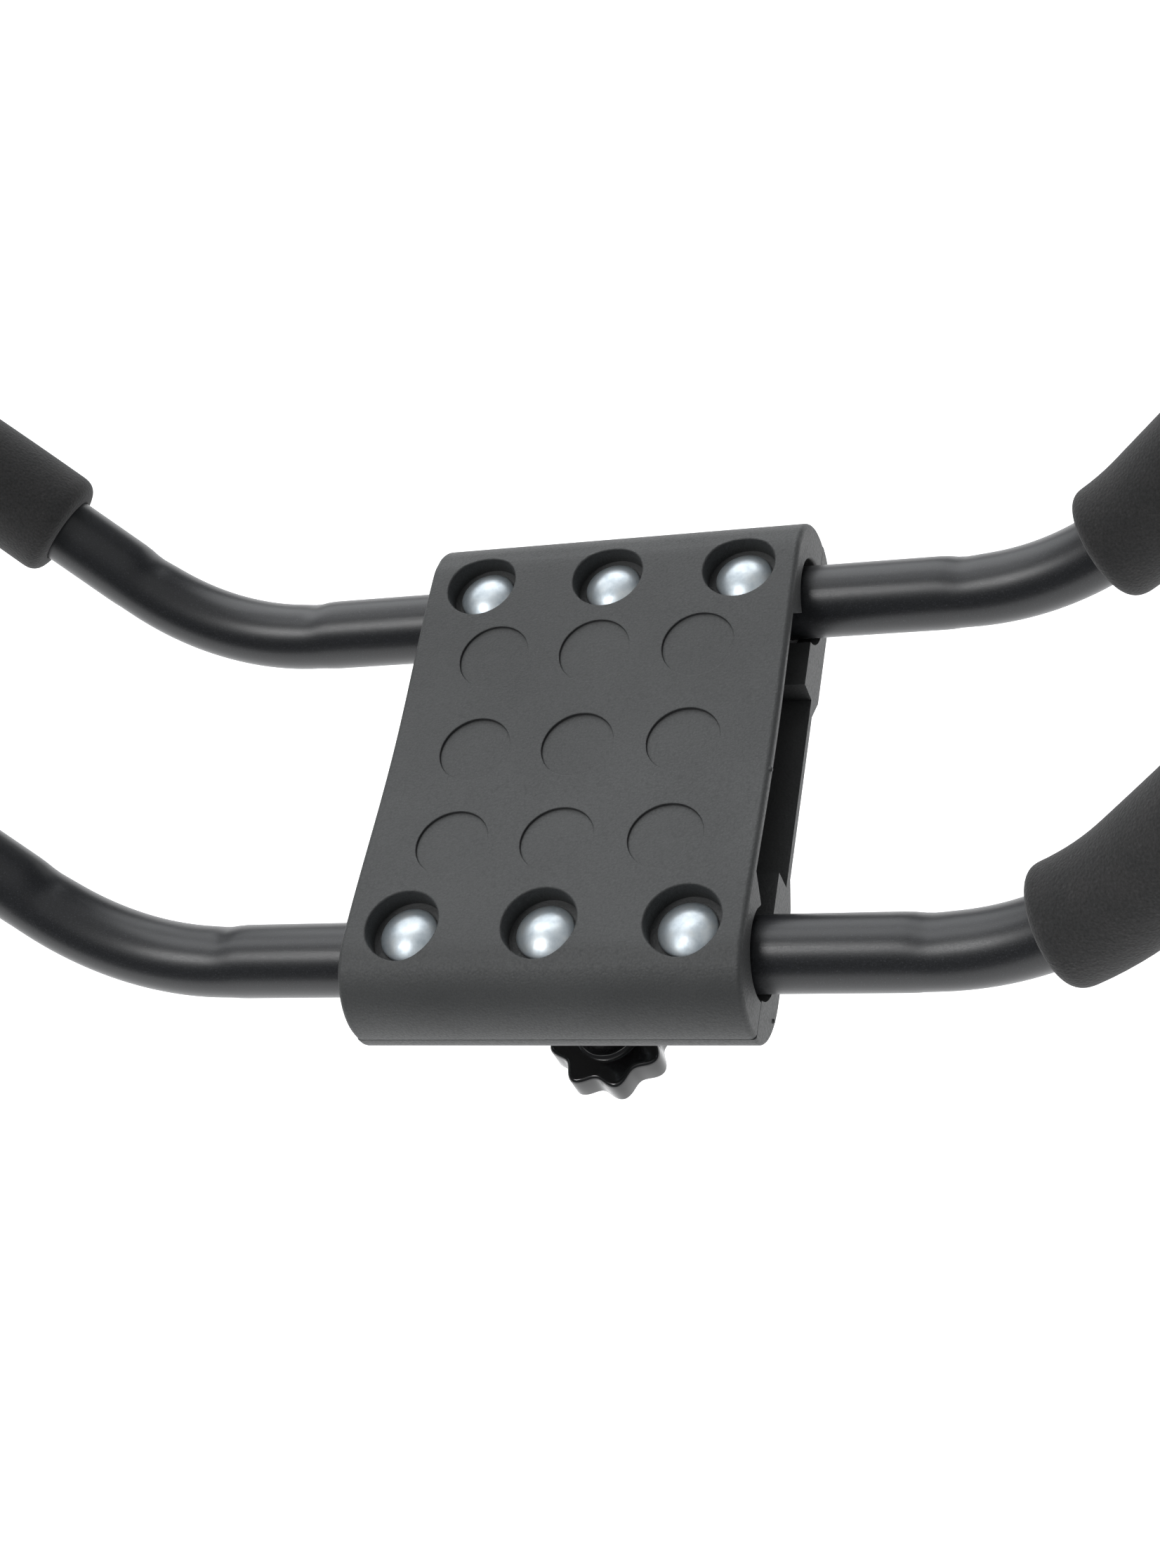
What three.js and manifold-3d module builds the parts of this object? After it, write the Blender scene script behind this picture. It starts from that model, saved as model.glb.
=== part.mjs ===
// Doorway pull-up bar: two gull-wing steel bars held side by side in a moulded clamp,
// carried by a straight door bar and two arms that hook over the door trim.
// Millimetres, +Z up, X along the bars, the doorway on the +Y side.
// The origin is the middle of the rubber strip's underside, where it rests on the trim.
import * as THREE from "three";
import { mergeVertices } from "three/addons/utils/BufferGeometryUtils.js";
import Module from "manifold-3d";

// Clearances
const fitGap = 0.3; // between pieces that touch
const boltPlay = 0.4; // bolt shank to its hole
const flareGap = 2.4; // tube to the widened mouth of its saddle

// Tubes: the clamp's frame has z = 0 at the middle of the top cover
const tubeRadius = 12.7;
const tubeWall = 1.8;
const tubeSides = 12;
const rowOffset = 70.7; // each bar's axis from the middle
const tubeSplit = 5; // each half bar stops this far from the middle
const straightHalf = 123; // middle to the first bend
const bendRadius = 97;
const bendAngle = THREE.MathUtils.degToRad(44);
const bendTilt = THREE.MathUtils.degToRad(64); // bend plane, from +Y up towards +Z
const gripRun = 228; // straight stretch between the two bends
const endRun = 45; // straight stretch after the second bend
const bendSteps = 6;

// Foam grips: where each one starts along its bar, and its size
const gripStart = { front_left: 240, front_right: 161, rear_left: 233, rear_right: 172 };
const gripLength = 180;
const gripWall = 7.7;

// Clamp covers
const clampHalf = 69;
const dishRise = 2.6; // tube rows above the middle of the dished top
const dishPastRow = 4.3; // the dish ends this far outside the tube axis
const noseShift = 5.8; // nose centre outside the tube axis
const noseWall = 10.3; // nose surface to a concentric tube's
const seamUnder = 3.5; // seam below the tube axis
const webThickness = 3.2;
const saddleWrap = THREE.MathUtils.degToRad(145);
const webClear = 6.3; // the top web starts this far inside the tube
const blockClear = 20; // inner side of the bottom cover's saddle blocks to the tube
const waistLift = 6; // bottom cover's middle above its blocks
const waistInset = 5;
const waistSlope = 11;
const ribPitch = 48;
const ribThickness = 2.5;
const ribTop = 12;
const wellClear = 2.75; // bolt head to the side of its well
const wellDrop = 5.5;
const wellFloor = 2; // plastic left over the tube
const dimpleRadius = 12.7;
const dimpleDepth = 1;
const dimpleInsetX = 31.5; // outer dimples to the clamp's end
const dimpleInsetY = 32.1; // outer dimples to the tube axis
const flareDepth = 8;
const nutClear = 4.1; // nut's flats to the side of its pocket
const nutPocketDepth = 7;
const nutFloor = 2.5; // plastic left under the tube

// M8 fasteners
const boltRadius = 4;
const boltInset = 20.8; // outer bolts to the clamp's end
const boltSides = 12;
const headLip = 6; // a bolt head's rim past its shank
const headHeight = 4.4;
const nutWall = 2.5; // a nut's flats past its thread
const nutHeight = 7.2;
const boltTail = 1.8; // thread that shows past a nut
const screwLip = 3; // a screw head's rim past its shank
const screwHeadHeight = 4.4;
const screwReach = 16; // thread inside a tube plug
const plugLength = 18;
const plugSet = 0.5; // plug below the end of its tube

// Star knob
const washerLip = 5.5;
const washerHeight = 1.6;
const knobHubWall = 2.2; // hub past the brass insert
const knobHubTaper = 1.2;
const knobHubHeight = 27;
const knobRimHeight = 11;
const knobRadius = 19.9;
const knobLobe = 1.9;
const knobLobes = 8;
const knobTurn = THREE.MathUtils.degToRad(-74);
const knobBevel = 1.5;
const insertWall = 2.4; // insert past its thread
const insertLength = 18;
const knobBoltReach = 28; // thread inside the knob

// Side brackets, door bar and pads: places are from the clamp's frame
const bracketThickness = 4;
const bracketRim = 6.3; // plate past the tubes it holds
const doorBarY = 205;
const doorBarZ = 238;
const padEndGap = 11.8; // pad to the end of the door bar
const padLength = 155;
const padWall = 8.3; // rubber round the door bar
const padFaceWall = 9.3; // rubber under the flat bearing face
const padCorner = 6;

// Hook arms, hook bar and rubber strip
const wallPack = 150; // jamb and both casings between pad and hook
const trimAbove = 150; // trim top above the door bar's axis
const casingPlay = 2;
const armX = 240;
const armBend = 50;
const armTop = 55; // arm's end above the trim
const armPlugGap = 3.3; // door bar's surface to the plug in the arm
const angleHeight = 44;
const angleDepth = 28;
const angleThickness = 3;
const hookHalf = 280;
const hookBoltRise = 26;
const stripHeight = 4;
const stripDepth = 24;
const stripHalf = 272;
const capLip = 3;
const capReach = 14;

const wasm = await Module();
wasm.setup();

// Sizes that follow from the ones above
const tubeInner = tubeRadius - tubeWall;
const tubeDrop = wellDrop + wellFloor + fitGap + tubeRadius; // bar axis below z = 0
const tubeZ = -tubeDrop;
const gripRadius = tubeRadius + gripWall;
const noseRadius = tubeRadius + noseWall;
const seamDrop = tubeDrop + seamUnder;
const bottomDrop = tubeDrop + tubeRadius + fitGap + nutFloor + nutPocketDepth;
const dishHalf = rowOffset + dishPastRow;
const webInset = tubeRadius + webClear;
const blockInner = rowOffset - tubeRadius - blockClear;
const waistDrop = bottomDrop - waistLift;
const waistHalf = blockInner - waistInset;
const dimplePitchX = clampHalf - dimpleInsetX;
const dimplePitchY = rowOffset - dimpleInsetY;
const boltPitch = clampHalf - boltInset;
const headRadius = boltRadius + headLip;
const wellRadius = headRadius + wellClear;
const nutFlats = 2 * (boltRadius + nutWall);
const nutPocketRadius = nutFlats / 2 + nutClear;
const screwHeadRadius = boltRadius + screwLip;
const washerRadius = boltRadius + washerLip;
const insertRadius = boltRadius + insertWall;
const knobHubTop = insertRadius + knobHubWall;
const knobHubBase = knobHubTop + knobHubTaper;
const bracketRadius = tubeRadius + bracketRim;
const padBack = tubeRadius + padWall;
const padFace = tubeRadius + padFaceWall;
const armPlugFrom = tubeRadius + armPlugGap;
const bendRun = bendRadius * bendAngle;
const secondBend = straightHalf + bendRun + gripRun;
const barLength = secondBend + bendRun + endRun;
const insideTube = tubeInner * Math.cos(Math.PI / tubeSides) - fitGap;
const noseY = rowOffset + noseShift;
const noseZ = dishRise - noseRadius;
const saddleRadius = around(tubeRadius + fitGap, tubeSides);
const boltHole = around(boltRadius + boltPlay, boltSides);
const doorFace = doorBarY + padFace;
const hookY = doorFace + wallPack + casingPlay;
const armY = hookY + angleThickness + fitGap + tubeRadius;
const trimZ = doorBarZ + trimAbove;
const trimY = hookY - casingPlay - stripDepth / 2;
const knobTop = -bottomDrop - washerHeight - 2 * fitGap;

// The radius of a polygon whose flats keep clear of a circle of the given radius.
function around(radius, sides) {
  return radius / Math.cos(Math.PI / sides);
}

// Solids and geometry

function solid(geometry) {
  const plain = geometry.clone().deleteAttribute("normal").deleteAttribute("uv");
  const merged = mergeVertices(plain, 1e-4);
  return new wasm.Manifold(
    new wasm.Mesh({
      numProp: 3,
      vertProperties: merged.attributes.position.array,
      triVerts: new Uint32Array(merged.index.array),
    }),
  );
}

function geometryOf(body) {
  const mesh = body.getMesh();
  const geometry = new THREE.BufferGeometry();
  geometry.setAttribute("position", new THREE.Float32BufferAttribute(mesh.vertProperties, 3));
  geometry.setIndex(Array.from(mesh.triVerts));
  return geometry;
}

function cut(geometry, ...cutters) {
  return geometryOf(cutters.reduce((body, cutter) => body.subtract(solid(cutter)), solid(geometry)));
}

const turns = {
  x: new THREE.Matrix4().makeRotationZ(-Math.PI / 2),
  y: new THREE.Matrix4(),
  z: new THREE.Matrix4().makeRotationX(Math.PI / 2),
};

// A round rod along one axis, from one place on it to another; the other two places follow.
function rod(axis, radius, from, to, [a, b], sides = boltSides) {
  const length = Math.abs(to - from);
  const middle = (from + to) / 2;
  const centre = { x: [middle, a, b], y: [a, middle, b], z: [a, b, middle] }[axis];
  return new THREE.CylinderGeometry(radius, radius, length, sides)
    .applyMatrix4(turns[axis])
    .translate(...centre);
}

// A turned piece about Z from [radius, z] pairs that go up along the outside.
function turned(profile, sides = boltSides) {
  const points = profile.map(([r, z]) => new THREE.Vector2(r, z));
  return new THREE.LatheGeometry(points, sides).rotateX(Math.PI / 2);
}

// A straight sleeve about Z, standing on z = 0.
function sleeve(outer, inner, length, sides = boltSides) {
  return turned([[inner, 0], [outer, 0], [outer, length], [inner, length], [inner, 0]], sides);
}

// An outline in the YZ plane, extruded along X from one place to another.
const alongX = new THREE.Matrix4().makeBasis(
  new THREE.Vector3(0, 1, 0),
  new THREE.Vector3(0, 0, 1),
  new THREE.Vector3(1, 0, 0),
);

function slab(shape, from, to, curveSegments = 4) {
  const depth = to - from;
  return new THREE.ExtrudeGeometry(shape, { depth, bevelEnabled: false, curveSegments })
    .applyMatrix4(alongX)
    .translate(from, 0, 0);
}

function arc(y, z, radius, from, to, steps, squash = 1) {
  const points = [];
  for (let i = 0; i <= steps; i++) {
    const angle = from + ((to - from) * i) / steps;
    points.push([y + radius * Math.cos(angle), z + squash * radius * Math.sin(angle)]);
  }
  return points;
}

// Half an outline, for y of 0 and more, completed by its mirror image.
function mirrored(half) {
  const other = half.filter(([y]) => y > 0).map(([y, z]) => [-y, z]).reverse();
  return new THREE.Shape([...half, ...other].map(([y, z]) => new THREE.Vector2(y, z)));
}

// A smooth line through stations given as lengths along it; sections fall on the stations.
class StationLine extends THREE.Curve {
  constructor(pointAt, stations) {
    super();
    this.pointAt = pointAt;
    this.stations = stations;
  }

  getPoint(t, target = new THREE.Vector3()) {
    const last = this.stations.length - 1;
    const i = Math.min(Math.floor(t * last), last - 1);
    const length = THREE.MathUtils.lerp(this.stations[i], this.stations[i + 1], t * last - i);
    return target.set(...this.pointAt(length));
  }

  getUtoTmapping(u) {
    return u;
  }
}

function tubeAlong(line, outer, inner) {
  const shape = new THREE.Shape(ringPoints(outer));
  shape.holes.push(new THREE.Path(ringPoints(inner)));
  return new THREE.ExtrudeGeometry(shape, {
    steps: line.stations.length - 1,
    extrudePath: line,
    bevelEnabled: false,
  });
}

function ringPoints(radius, sides = tubeSides) {
  return arc(0, 0, radius, 0, 2 * Math.PI, sides).slice(1).map(([a, b]) => new THREE.Vector2(a, b));
}

// Stations from one length to another, close together only in the given bends.
function stationsBetween(from, to, bends) {
  const marks = [from, to];
  for (const [start, run] of bends) {
    for (let i = 0; i <= bendSteps; i++) marks.push(start + (run * i) / bendSteps);
  }
  const inside = marks.filter((s) => s >= from && s <= to).sort((a, b) => a - b);
  return inside.filter((s, i) => i === 0 || s - inside[i - 1] > 0.5);
}

// The gull-wing bars

// A place on a half bar: side is -1 or 1 along X, row is -1 (front) or 1 (rear).
function barPoint(side, row, length) {
  const first = THREE.MathUtils.clamp(length - straightHalf, 0, bendRun) / bendRadius;
  const grip = THREE.MathUtils.clamp(length - straightHalf - bendRun, 0, gripRun);
  const second = THREE.MathUtils.clamp(length - secondBend, 0, bendRun) / bendRadius;
  const last = Math.max(length - secondBend - bendRun, 0);
  const turn = bendAngle - second;
  const out =
    Math.min(length, straightHalf) +
    bendRadius * Math.sin(first) +
    grip * Math.cos(bendAngle) +
    bendRadius * (Math.sin(bendAngle) - Math.sin(turn)) +
    last;
  const lift =
    bendRadius * (1 - Math.cos(first)) +
    grip * Math.sin(bendAngle) +
    bendRadius * (Math.cos(turn) - Math.cos(bendAngle));
  return [side * out, row * rowOffset + lift * Math.cos(bendTilt), tubeZ + lift * Math.sin(bendTilt)];
}

const barBends = [[straightHalf, bendRun], [secondBend, bendRun]];

function barLine(side, row, from, to) {
  return new StationLine((s) => barPoint(side, row, s), stationsBetween(from, to, barBends));
}

function boltCut(x, row) {
  return rod("z", boltHole, -bottomDrop, 0, [x, row * rowOffset]);
}

function halfBar(side, row) {
  const tube = tubeAlong(barLine(side, row, tubeSplit, barLength), tubeRadius, tubeInner);
  return cut(tube, boltCut(side * boltPitch, row));
}

function foamGrip(side, row, start) {
  const stations = barLine(side, row, start, start + gripLength);
  return tubeAlong(stations, gripRadius, around(tubeRadius + fitGap, tubeSides));
}

function spliceSleeve(row) {
  const reach = clampHalf - 4;
  const line = new StationLine((s) => [s, row * rowOffset, tubeZ], [-reach, reach]);
  const bore = insideTube - tubeWall;
  return cut(
    tubeAlong(line, insideTube, bore),
    ...[-boltPitch, 0, boltPitch].map((x) => boltCut(x, row)),
  );
}

// The clamp

function dishHeight(y) {
  const share = Math.min(Math.abs(y) / dishHalf, 1);
  return (dishRise * (1 - Math.cos(Math.PI * share))) / 2;
}

function dishPoints(from, to, drop, steps) {
  const points = [];
  for (let i = 0; i <= steps; i++) {
    const y = from + ((to - from) * i) / steps;
    points.push([y, dishHeight(y) - drop]);
  }
  return points;
}

function bothRows(make) {
  return [-1, 1].flatMap((row) => make(row));
}

function saddleFlares() {
  const radius = around(tubeRadius + flareGap, tubeSides);
  const past = 5;
  return bothRows((row) => [-1, 1].map((side) => {
    const inner = side * (clampHalf - flareDepth);
    return rod("x", radius, inner, side * (clampHalf + past), [row * rowOffset, tubeZ], tubeSides);
  }));
}

function topCover() {
  const half = [
    ...dishPoints(0, dishHalf, 0, 7),
    ...arc(noseY, noseZ, noseRadius, Math.PI / 2, -Math.asin((seamDrop + noseZ) / noseRadius), 7),
    [rowOffset + saddleRadius, -seamDrop],
    ...arc(rowOffset, tubeZ, saddleRadius, 0, saddleWrap, 7),
    ...dishPoints(rowOffset - webInset, 0, webThickness, 4),
  ];
  const above = dishRise + 5;
  const wells = bothRows((row) => [-boltPitch, 0, boltPitch].flatMap((x) => [
    rod("z", wellRadius, -wellDrop, above, [x, row * rowOffset], 18),
    boltCut(x, row),
  ]));
  const grid = [-1, 0, 1];
  const dimples = grid.flatMap((i) => grid.map((j) => dimple(i * dimplePitchX, j * dimplePitchY)));
  return cut(slab(mirrored(half), -clampHalf, clampHalf), ...wells, ...dimples, ...saddleFlares());
}

// A shallow round recess whose floor is parallel to the dished top.
function dimple(x, y) {
  const step = 1;
  const slope = Math.atan((dishHeight(y + step) - dishHeight(y - step)) / (2 * step));
  const height = 6;
  return new THREE.CylinderGeometry(dimpleRadius, dimpleRadius, height, 18)
    .rotateX(Math.PI / 2)
    .translate(0, 0, height / 2 - dimpleDepth)
    .rotateX(slope)
    .translate(x, y, dishHeight(y));
}

function bottomCover() {
  const top = -seamDrop - fitGap;
  const lip = Math.asin((tubeDrop - seamDrop - fitGap) / saddleRadius);
  const depth = bottomDrop - seamDrop - fitGap;
  const noseReach = Math.sqrt(noseRadius ** 2 - (seamDrop + noseZ) ** 2);
  const half = [
    [0, webThickness - waistDrop],
    [blockInner, webThickness - waistDrop],
    [blockInner, top],
    ...arc(rowOffset, tubeZ, saddleRadius, Math.PI - lip, 2 * Math.PI + lip, 6),
    ...arc(noseY, top, noseReach, 0, -Math.PI / 2, 6, depth / noseReach),
    [waistHalf + waistSlope, -bottomDrop],
    [waistHalf, -waistDrop],
    [0, -waistDrop],
  ];
  let body = solid(slab(mirrored(half), -clampHalf, clampHalf));
  for (const x of [-ribPitch / 2, ribPitch / 2]) {
    const height = waistDrop - ribTop;
    const rib = new THREE.BoxGeometry(ribThickness, 2 * blockInner + 2, height - 1)
      .translate(x, 0, -(waistDrop + ribTop) / 2);
    body = body.add(solid(rib));
  }
  const under = -bottomDrop - 5;
  const cutters = bothRows((row) => [-boltPitch, 0, boltPitch].flatMap((x) => {
    const hole = [rod("z", boltHole, under, 0, [x, row * rowOffset])];
    if (x !== 0 || row !== -1) {
      hole.push(rod("z", nutPocketRadius, under, nutPocketDepth - bottomDrop, [x, row * rowOffset], 16));
    }
    return hole;
  }));
  return cut(geometryOf(body), ...cutters, ...saddleFlares());
}

// A carriage bolt hanging from its head; the head's underside is at z = 0.
function carriageBolt(length) {
  const dome = [];
  const steps = 4;
  for (let i = 0; i <= steps; i++) {
    const angle = (Math.PI / 2) * (i / steps);
    dome.push([headRadius * Math.cos(angle), 0.9 + (headHeight - 0.9) * Math.sin(angle)]);
  }
  dome[steps][0] = 0;
  return turned([[0, -length], [boltRadius, -length], [boltRadius, 0], [headRadius, 0], ...dome]);
}

// A button-head screw along Z; the head's underside is at z = 0.
function buttonScrew(length) {
  const shoulder = 0.6 * screwHeadRadius;
  return turned([
    [0, -length],
    [boltRadius, -length],
    [boltRadius, 0],
    [screwHeadRadius, 0],
    [screwHeadRadius * 0.94, screwHeadHeight * 0.5],
    [shoulder, screwHeadHeight],
    [0, screwHeadHeight],
  ]);
}

function hexNut(height) {
  const shape = new THREE.Shape(ringPoints(around(nutFlats / 2, 6), 6));
  shape.holes.push(new THREE.Path(ringPoints(boltHole, boltSides)));
  return new THREE.ExtrudeGeometry(shape, { depth: height, bevelEnabled: false });
}

// The star knob hangs from z = 0, its hub's top face.
function starKnob() {
  const outline = [];
  const steps = knobLobes * 6;
  for (let i = 0; i < steps; i++) {
    const angle = (2 * Math.PI * i) / steps;
    const radius = knobRadius - knobBevel + knobLobe * Math.cos(knobLobes * (angle - knobTurn));
    outline.push(new THREE.Vector2(radius * Math.cos(angle), radius * Math.sin(angle)));
  }
  const rim = new THREE.ExtrudeGeometry(new THREE.Shape(outline), {
    depth: knobRimHeight - 2 * knobBevel,
    bevelThickness: knobBevel,
    bevelSize: knobBevel,
    bevelSegments: 1,
  }).translate(0, 0, knobBevel - knobHubHeight - knobRimHeight);
  const overlap = 2;
  const hub = turned([
    [0, -knobHubHeight - overlap],
    [knobHubBase, -knobHubHeight - overlap],
    [knobHubBase, -knobHubHeight],
    [knobHubTop, -1],
    [knobHubTop - 1, 0],
    [0, 0],
  ], 16);
  const insertHole = around(insertRadius + fitGap, boltSides);
  const body = solid(rim).add(solid(hub));
  return cut(
    geometryOf(body),
    rod("z", insertHole, -insertLength - fitGap, 5, [0, 0]),
    rod("z", boltHole, -knobBoltReach - 2, -insertLength, [0, 0]),
  );
}

// Side brackets, door bar and hook

function roundedTriangle(corners, radius) {
  const points = [];
  corners.forEach(([y, z], i) => {
    const [py, pz] = corners[(i + 2) % 3];
    const [ny, nz] = corners[(i + 1) % 3];
    const from = Math.atan2(z - pz, y - py) - Math.PI / 2;
    let to = Math.atan2(nz - z, ny - y) - Math.PI / 2;
    while (to < from) to += 2 * Math.PI;
    points.push(...arc(y, z, radius, from, to, 5));
  });
  return new THREE.Shape(points.map((p) => new THREE.Vector2(...p)));
}

const barEnds = {
  front: barPoint(1, -1, barLength),
  rear: barPoint(1, 1, barLength),
  door: [barPoint(1, 1, barLength)[0], doorBarY, doorBarZ],
};
const endX = barEnds.rear[0];
const padStart = endX - padEndGap - padLength;

function sideBracket(side) {
  const corners = [barEnds.front, barEnds.rear, barEnds.door].map(([, y, z]) => [y, z]);
  const inner = endX + fitGap;
  const plate = slab(roundedTriangle(corners, bracketRadius), inner, inner + bracketThickness);
  const window = roundedTriangle(corners.map(([y, z]) => {
    const [my, mz] = [0, 1].map((k) => corners.reduce((sum, c) => sum + c[k], 0) / 3);
    return [my + (y - my) * 0.3, mz + (z - mz) * 0.3];
  }), 6);
  const holes = corners.map((corner) => rod("x", boltHole, inner - 5, inner + bracketThickness + 5, corner));
  const geometry = cut(plate, slab(window, inner - 5, inner + bracketThickness + 5), ...holes);
  return side > 0 ? geometry : geometryOf(solid(geometry).mirror([1, 0, 0]));
}

function doorBar() {
  const line = new StationLine((s) => [s, doorBarY, doorBarZ], [-endX, endX]);
  const holes = [-armX, armX].map((x) =>
    rod("y", boltHole, doorBarY - tubeRadius - 5, doorBarY + tubeRadius + 5, [x, doorBarZ]),
  );
  return cut(tubeAlong(line, tubeRadius, tubeInner), ...holes);
}

// A moulded rubber sleeve with a flat face towards the casing.
function casingPad(side) {
  const shape = new THREE.Shape();
  shape.absarc(0, 0, padBack, Math.PI / 2, 1.5 * Math.PI);
  shape.lineTo(padFace - padCorner, -padBack);
  shape.absarc(padFace - padCorner, padCorner - padBack, padCorner, -Math.PI / 2, 0);
  shape.lineTo(padFace, padBack - padCorner);
  shape.absarc(padFace - padCorner, padBack - padCorner, padCorner, 0, Math.PI / 2);
  const bore = around(tubeRadius + fitGap, tubeSides);
  shape.holes.push(new THREE.Path(ringPoints(bore)));
  const from = side > 0 ? padStart : -padStart - padLength;
  return slab(shape, from, from + padLength, 3).translate(0, doorBarY, doorBarZ);
}

const armRise = trimZ + armTop - doorBarZ;
const armRun = armY - doorBarY;
const armQuarter = (armBend * Math.PI) / 2;
const armLength = armRun + armRise - 2 * armBend + armQuarter;

function hookArm(side) {
  const pointAt = (s) => {
    const turn = THREE.MathUtils.clamp(s - (armRun - armBend), 0, armQuarter) / armBend;
    const up = Math.max(s - (armRun - armBend) - armQuarter, 0);
    const y = Math.min(s, armRun - armBend) + armBend * Math.sin(turn);
    const z = armBend * (1 - Math.cos(turn)) + up;
    return [side * armX, doorBarY + y, doorBarZ + z];
  };
  const line = new StationLine(pointAt, stationsBetween(0, armLength, [[armRun - armBend, armQuarter]]));
  return cut(
    tubeAlong(line, tubeRadius, tubeInner),
    rod("x", around(tubeRadius + fitGap, 16), side * armX - 30, side * armX + 30, [doorBarY, doorBarZ], 16),
    rod("y", boltHole, hookY - 5, armY + tubeRadius + 5, [side * armX, trimZ + hookBoltRise]),
  );
}

const angleBottom = trimZ + stripHeight + fitGap;

function hookAngle() {
  const back = hookY + angleThickness;
  const outline = [
    [back, angleBottom],
    [back, angleBottom + angleHeight],
    [hookY, angleBottom + angleHeight],
    [hookY, angleBottom + angleThickness],
    [back - angleDepth, angleBottom + angleThickness],
    [back - angleDepth, angleBottom],
  ];
  const shape = new THREE.Shape(outline.map((p) => new THREE.Vector2(...p)));
  const holes = [-armX, armX].map((x) =>
    rod("y", boltHole, hookY - 5, back + 5, [x, trimZ + hookBoltRise]),
  );
  return cut(slab(shape, -hookHalf, hookHalf), ...holes);
}

function armCap() {
  return turned([
    [0, -capReach],
    [insideTube - 0.5, -capReach],
    [insideTube, 1 - capReach],
    [insideTube, 0],
    [tubeRadius, 0],
    [tubeRadius, capLip * 0.4],
    [tubeRadius - 1.5, capLip],
    [0, capLip],
  ], tubeSides);
}

// Materials

function finish(color, roughness, metalness = 0) {
  return new THREE.MeshStandardMaterial({ color, roughness, metalness });
}

const coverPlastic = finish("#4b4c4f", 0.6);
const powderCoat = finish("#2a2a2c", 0.42, 0.2);
const foam = finish("#262627", 0.95);
const zinc = finish("#c3cbd0", 0.3, 0.95);
const rawSteel = finish("#8d9092", 0.4, 0.9);
const knobPlastic = finish("#141416", 0.25);
const rubber = finish("#1d1d1e", 0.85);
const brass = finish("#b08d4c", 0.35, 0.9);

// Assembly, in the clamp's frame

const clampFrame = new THREE.Group();

function add(name, geometry, material, place = [0, 0, 0], rotation = [0, 0, 0]) {
  const mesh = new THREE.Mesh(geometry, material);
  mesh.name = name;
  mesh.position.set(...place);
  mesh.rotation.set(...rotation);
  clampFrame.add(mesh);
}

const sides = { left: -1, right: 1 };
const rows = { front: -1, rear: 1 };

add("top_cover", topCover(), coverPlastic);
add("bottom_cover", bottomCover(), coverPlastic);

const nutTop = nutPocketDepth - bottomDrop - fitGap;
const shortBolt = nutTop - nutHeight - boltTail;
const longBolt = knobTop - knobBoltReach;
const plug = sleeve(insideTube, boltHole, plugLength);
const endScrew = buttonScrew(fitGap + bracketThickness + fitGap + plugSet + screwReach);

for (const [rowName, row] of Object.entries(rows)) {
  const rowY = row * rowOffset;
  add(`${rowName}_splice_sleeve`, spliceSleeve(row), rawSteel);
  for (const [place, x] of Object.entries({ left: -boltPitch, middle: 0, right: boltPitch })) {
    const held = rowName === "front" && place === "middle";
    const under = fitGap - wellDrop;
    const length = under - (held ? longBolt : shortBolt);
    add(`clamp_bolt_${rowName}_${place}`, carriageBolt(length), zinc, [x, rowY, under]);
    if (!held) {
      add(`clamp_nut_${rowName}_${place}`, hexNut(nutHeight), zinc, [x, rowY, nutTop - nutHeight]);
    }
  }
  for (const [sideName, side] of Object.entries(sides)) {
    add(`${rowName}_bar_${sideName}`, halfBar(side, row), powderCoat);
    add(
      `foam_grip_${rowName}_${sideName}`,
      foamGrip(side, row, gripStart[`${rowName}_${sideName}`]),
      foam,
    );
  }
}

add("knob_washer", sleeve(washerRadius, boltHole, washerHeight, 16), zinc, [
  0,
  -rowOffset,
  -bottomDrop - fitGap - washerHeight,
]);
add("star_knob", starKnob(), knobPlastic, [0, -rowOffset, knobTop]);
add("knob_insert", sleeve(insertRadius, boltHole, insertLength - fitGap), brass, [
  0,
  -rowOffset,
  knobTop - insertLength,
]);

add("door_bar", doorBar(), powderCoat);
for (const [sideName, side] of Object.entries(sides)) {
  const quarter = (side * Math.PI) / 2;
  add(`side_bracket_${sideName}`, sideBracket(side), powderCoat);
  for (const [barName, [x, y, z]] of Object.entries(barEnds)) {
    add(`${barName}_tube_plug_${sideName}`, plug, rawSteel, [side * (x - plugSet - plugLength), y, z], [
      0,
      quarter,
      0,
    ]);
    const seat = x + fitGap + bracketThickness + fitGap;
    add(`${barName}_end_screw_${sideName}`, endScrew, zinc, [side * seat, y, z], [0, quarter, 0]);
  }
  add(`casing_pad_${sideName}`, casingPad(side), rubber);
  add(`hook_arm_${sideName}`, hookArm(side), powderCoat);
  add(`arm_plug_${sideName}`, plug, rawSteel, [side * armX, doorBarY + armPlugFrom + plugLength, doorBarZ], [
    Math.PI / 2,
    0,
    0,
  ]);
  const seat = tubeRadius + fitGap;
  add(
    `arm_screw_${sideName}`,
    buttonScrew(seat + armPlugFrom + screwReach),
    zinc,
    [side * armX, doorBarY - seat, doorBarZ],
    [Math.PI / 2, 0, 0],
  );
  add(`arm_cap_${sideName}`, armCap(), knobPlastic, [side * armX, armY, trimZ + armTop + fitGap]);
  const nutY = armY + tubeRadius + fitGap;
  const hookScrew = nutY + nutHeight + boltTail - (hookY - fitGap);
  add(
    `hook_screw_${sideName}`,
    buttonScrew(hookScrew),
    zinc,
    [side * armX, hookY - fitGap, trimZ + hookBoltRise],
    [Math.PI / 2, 0, 0],
  );
  add(
    `hook_nut_${sideName}`,
    hexNut(nutHeight),
    zinc,
    [side * armX, nutY + nutHeight, trimZ + hookBoltRise],
    [Math.PI / 2, 0, 0],
  );
}
add("hook_angle", hookAngle(), powderCoat);
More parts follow.
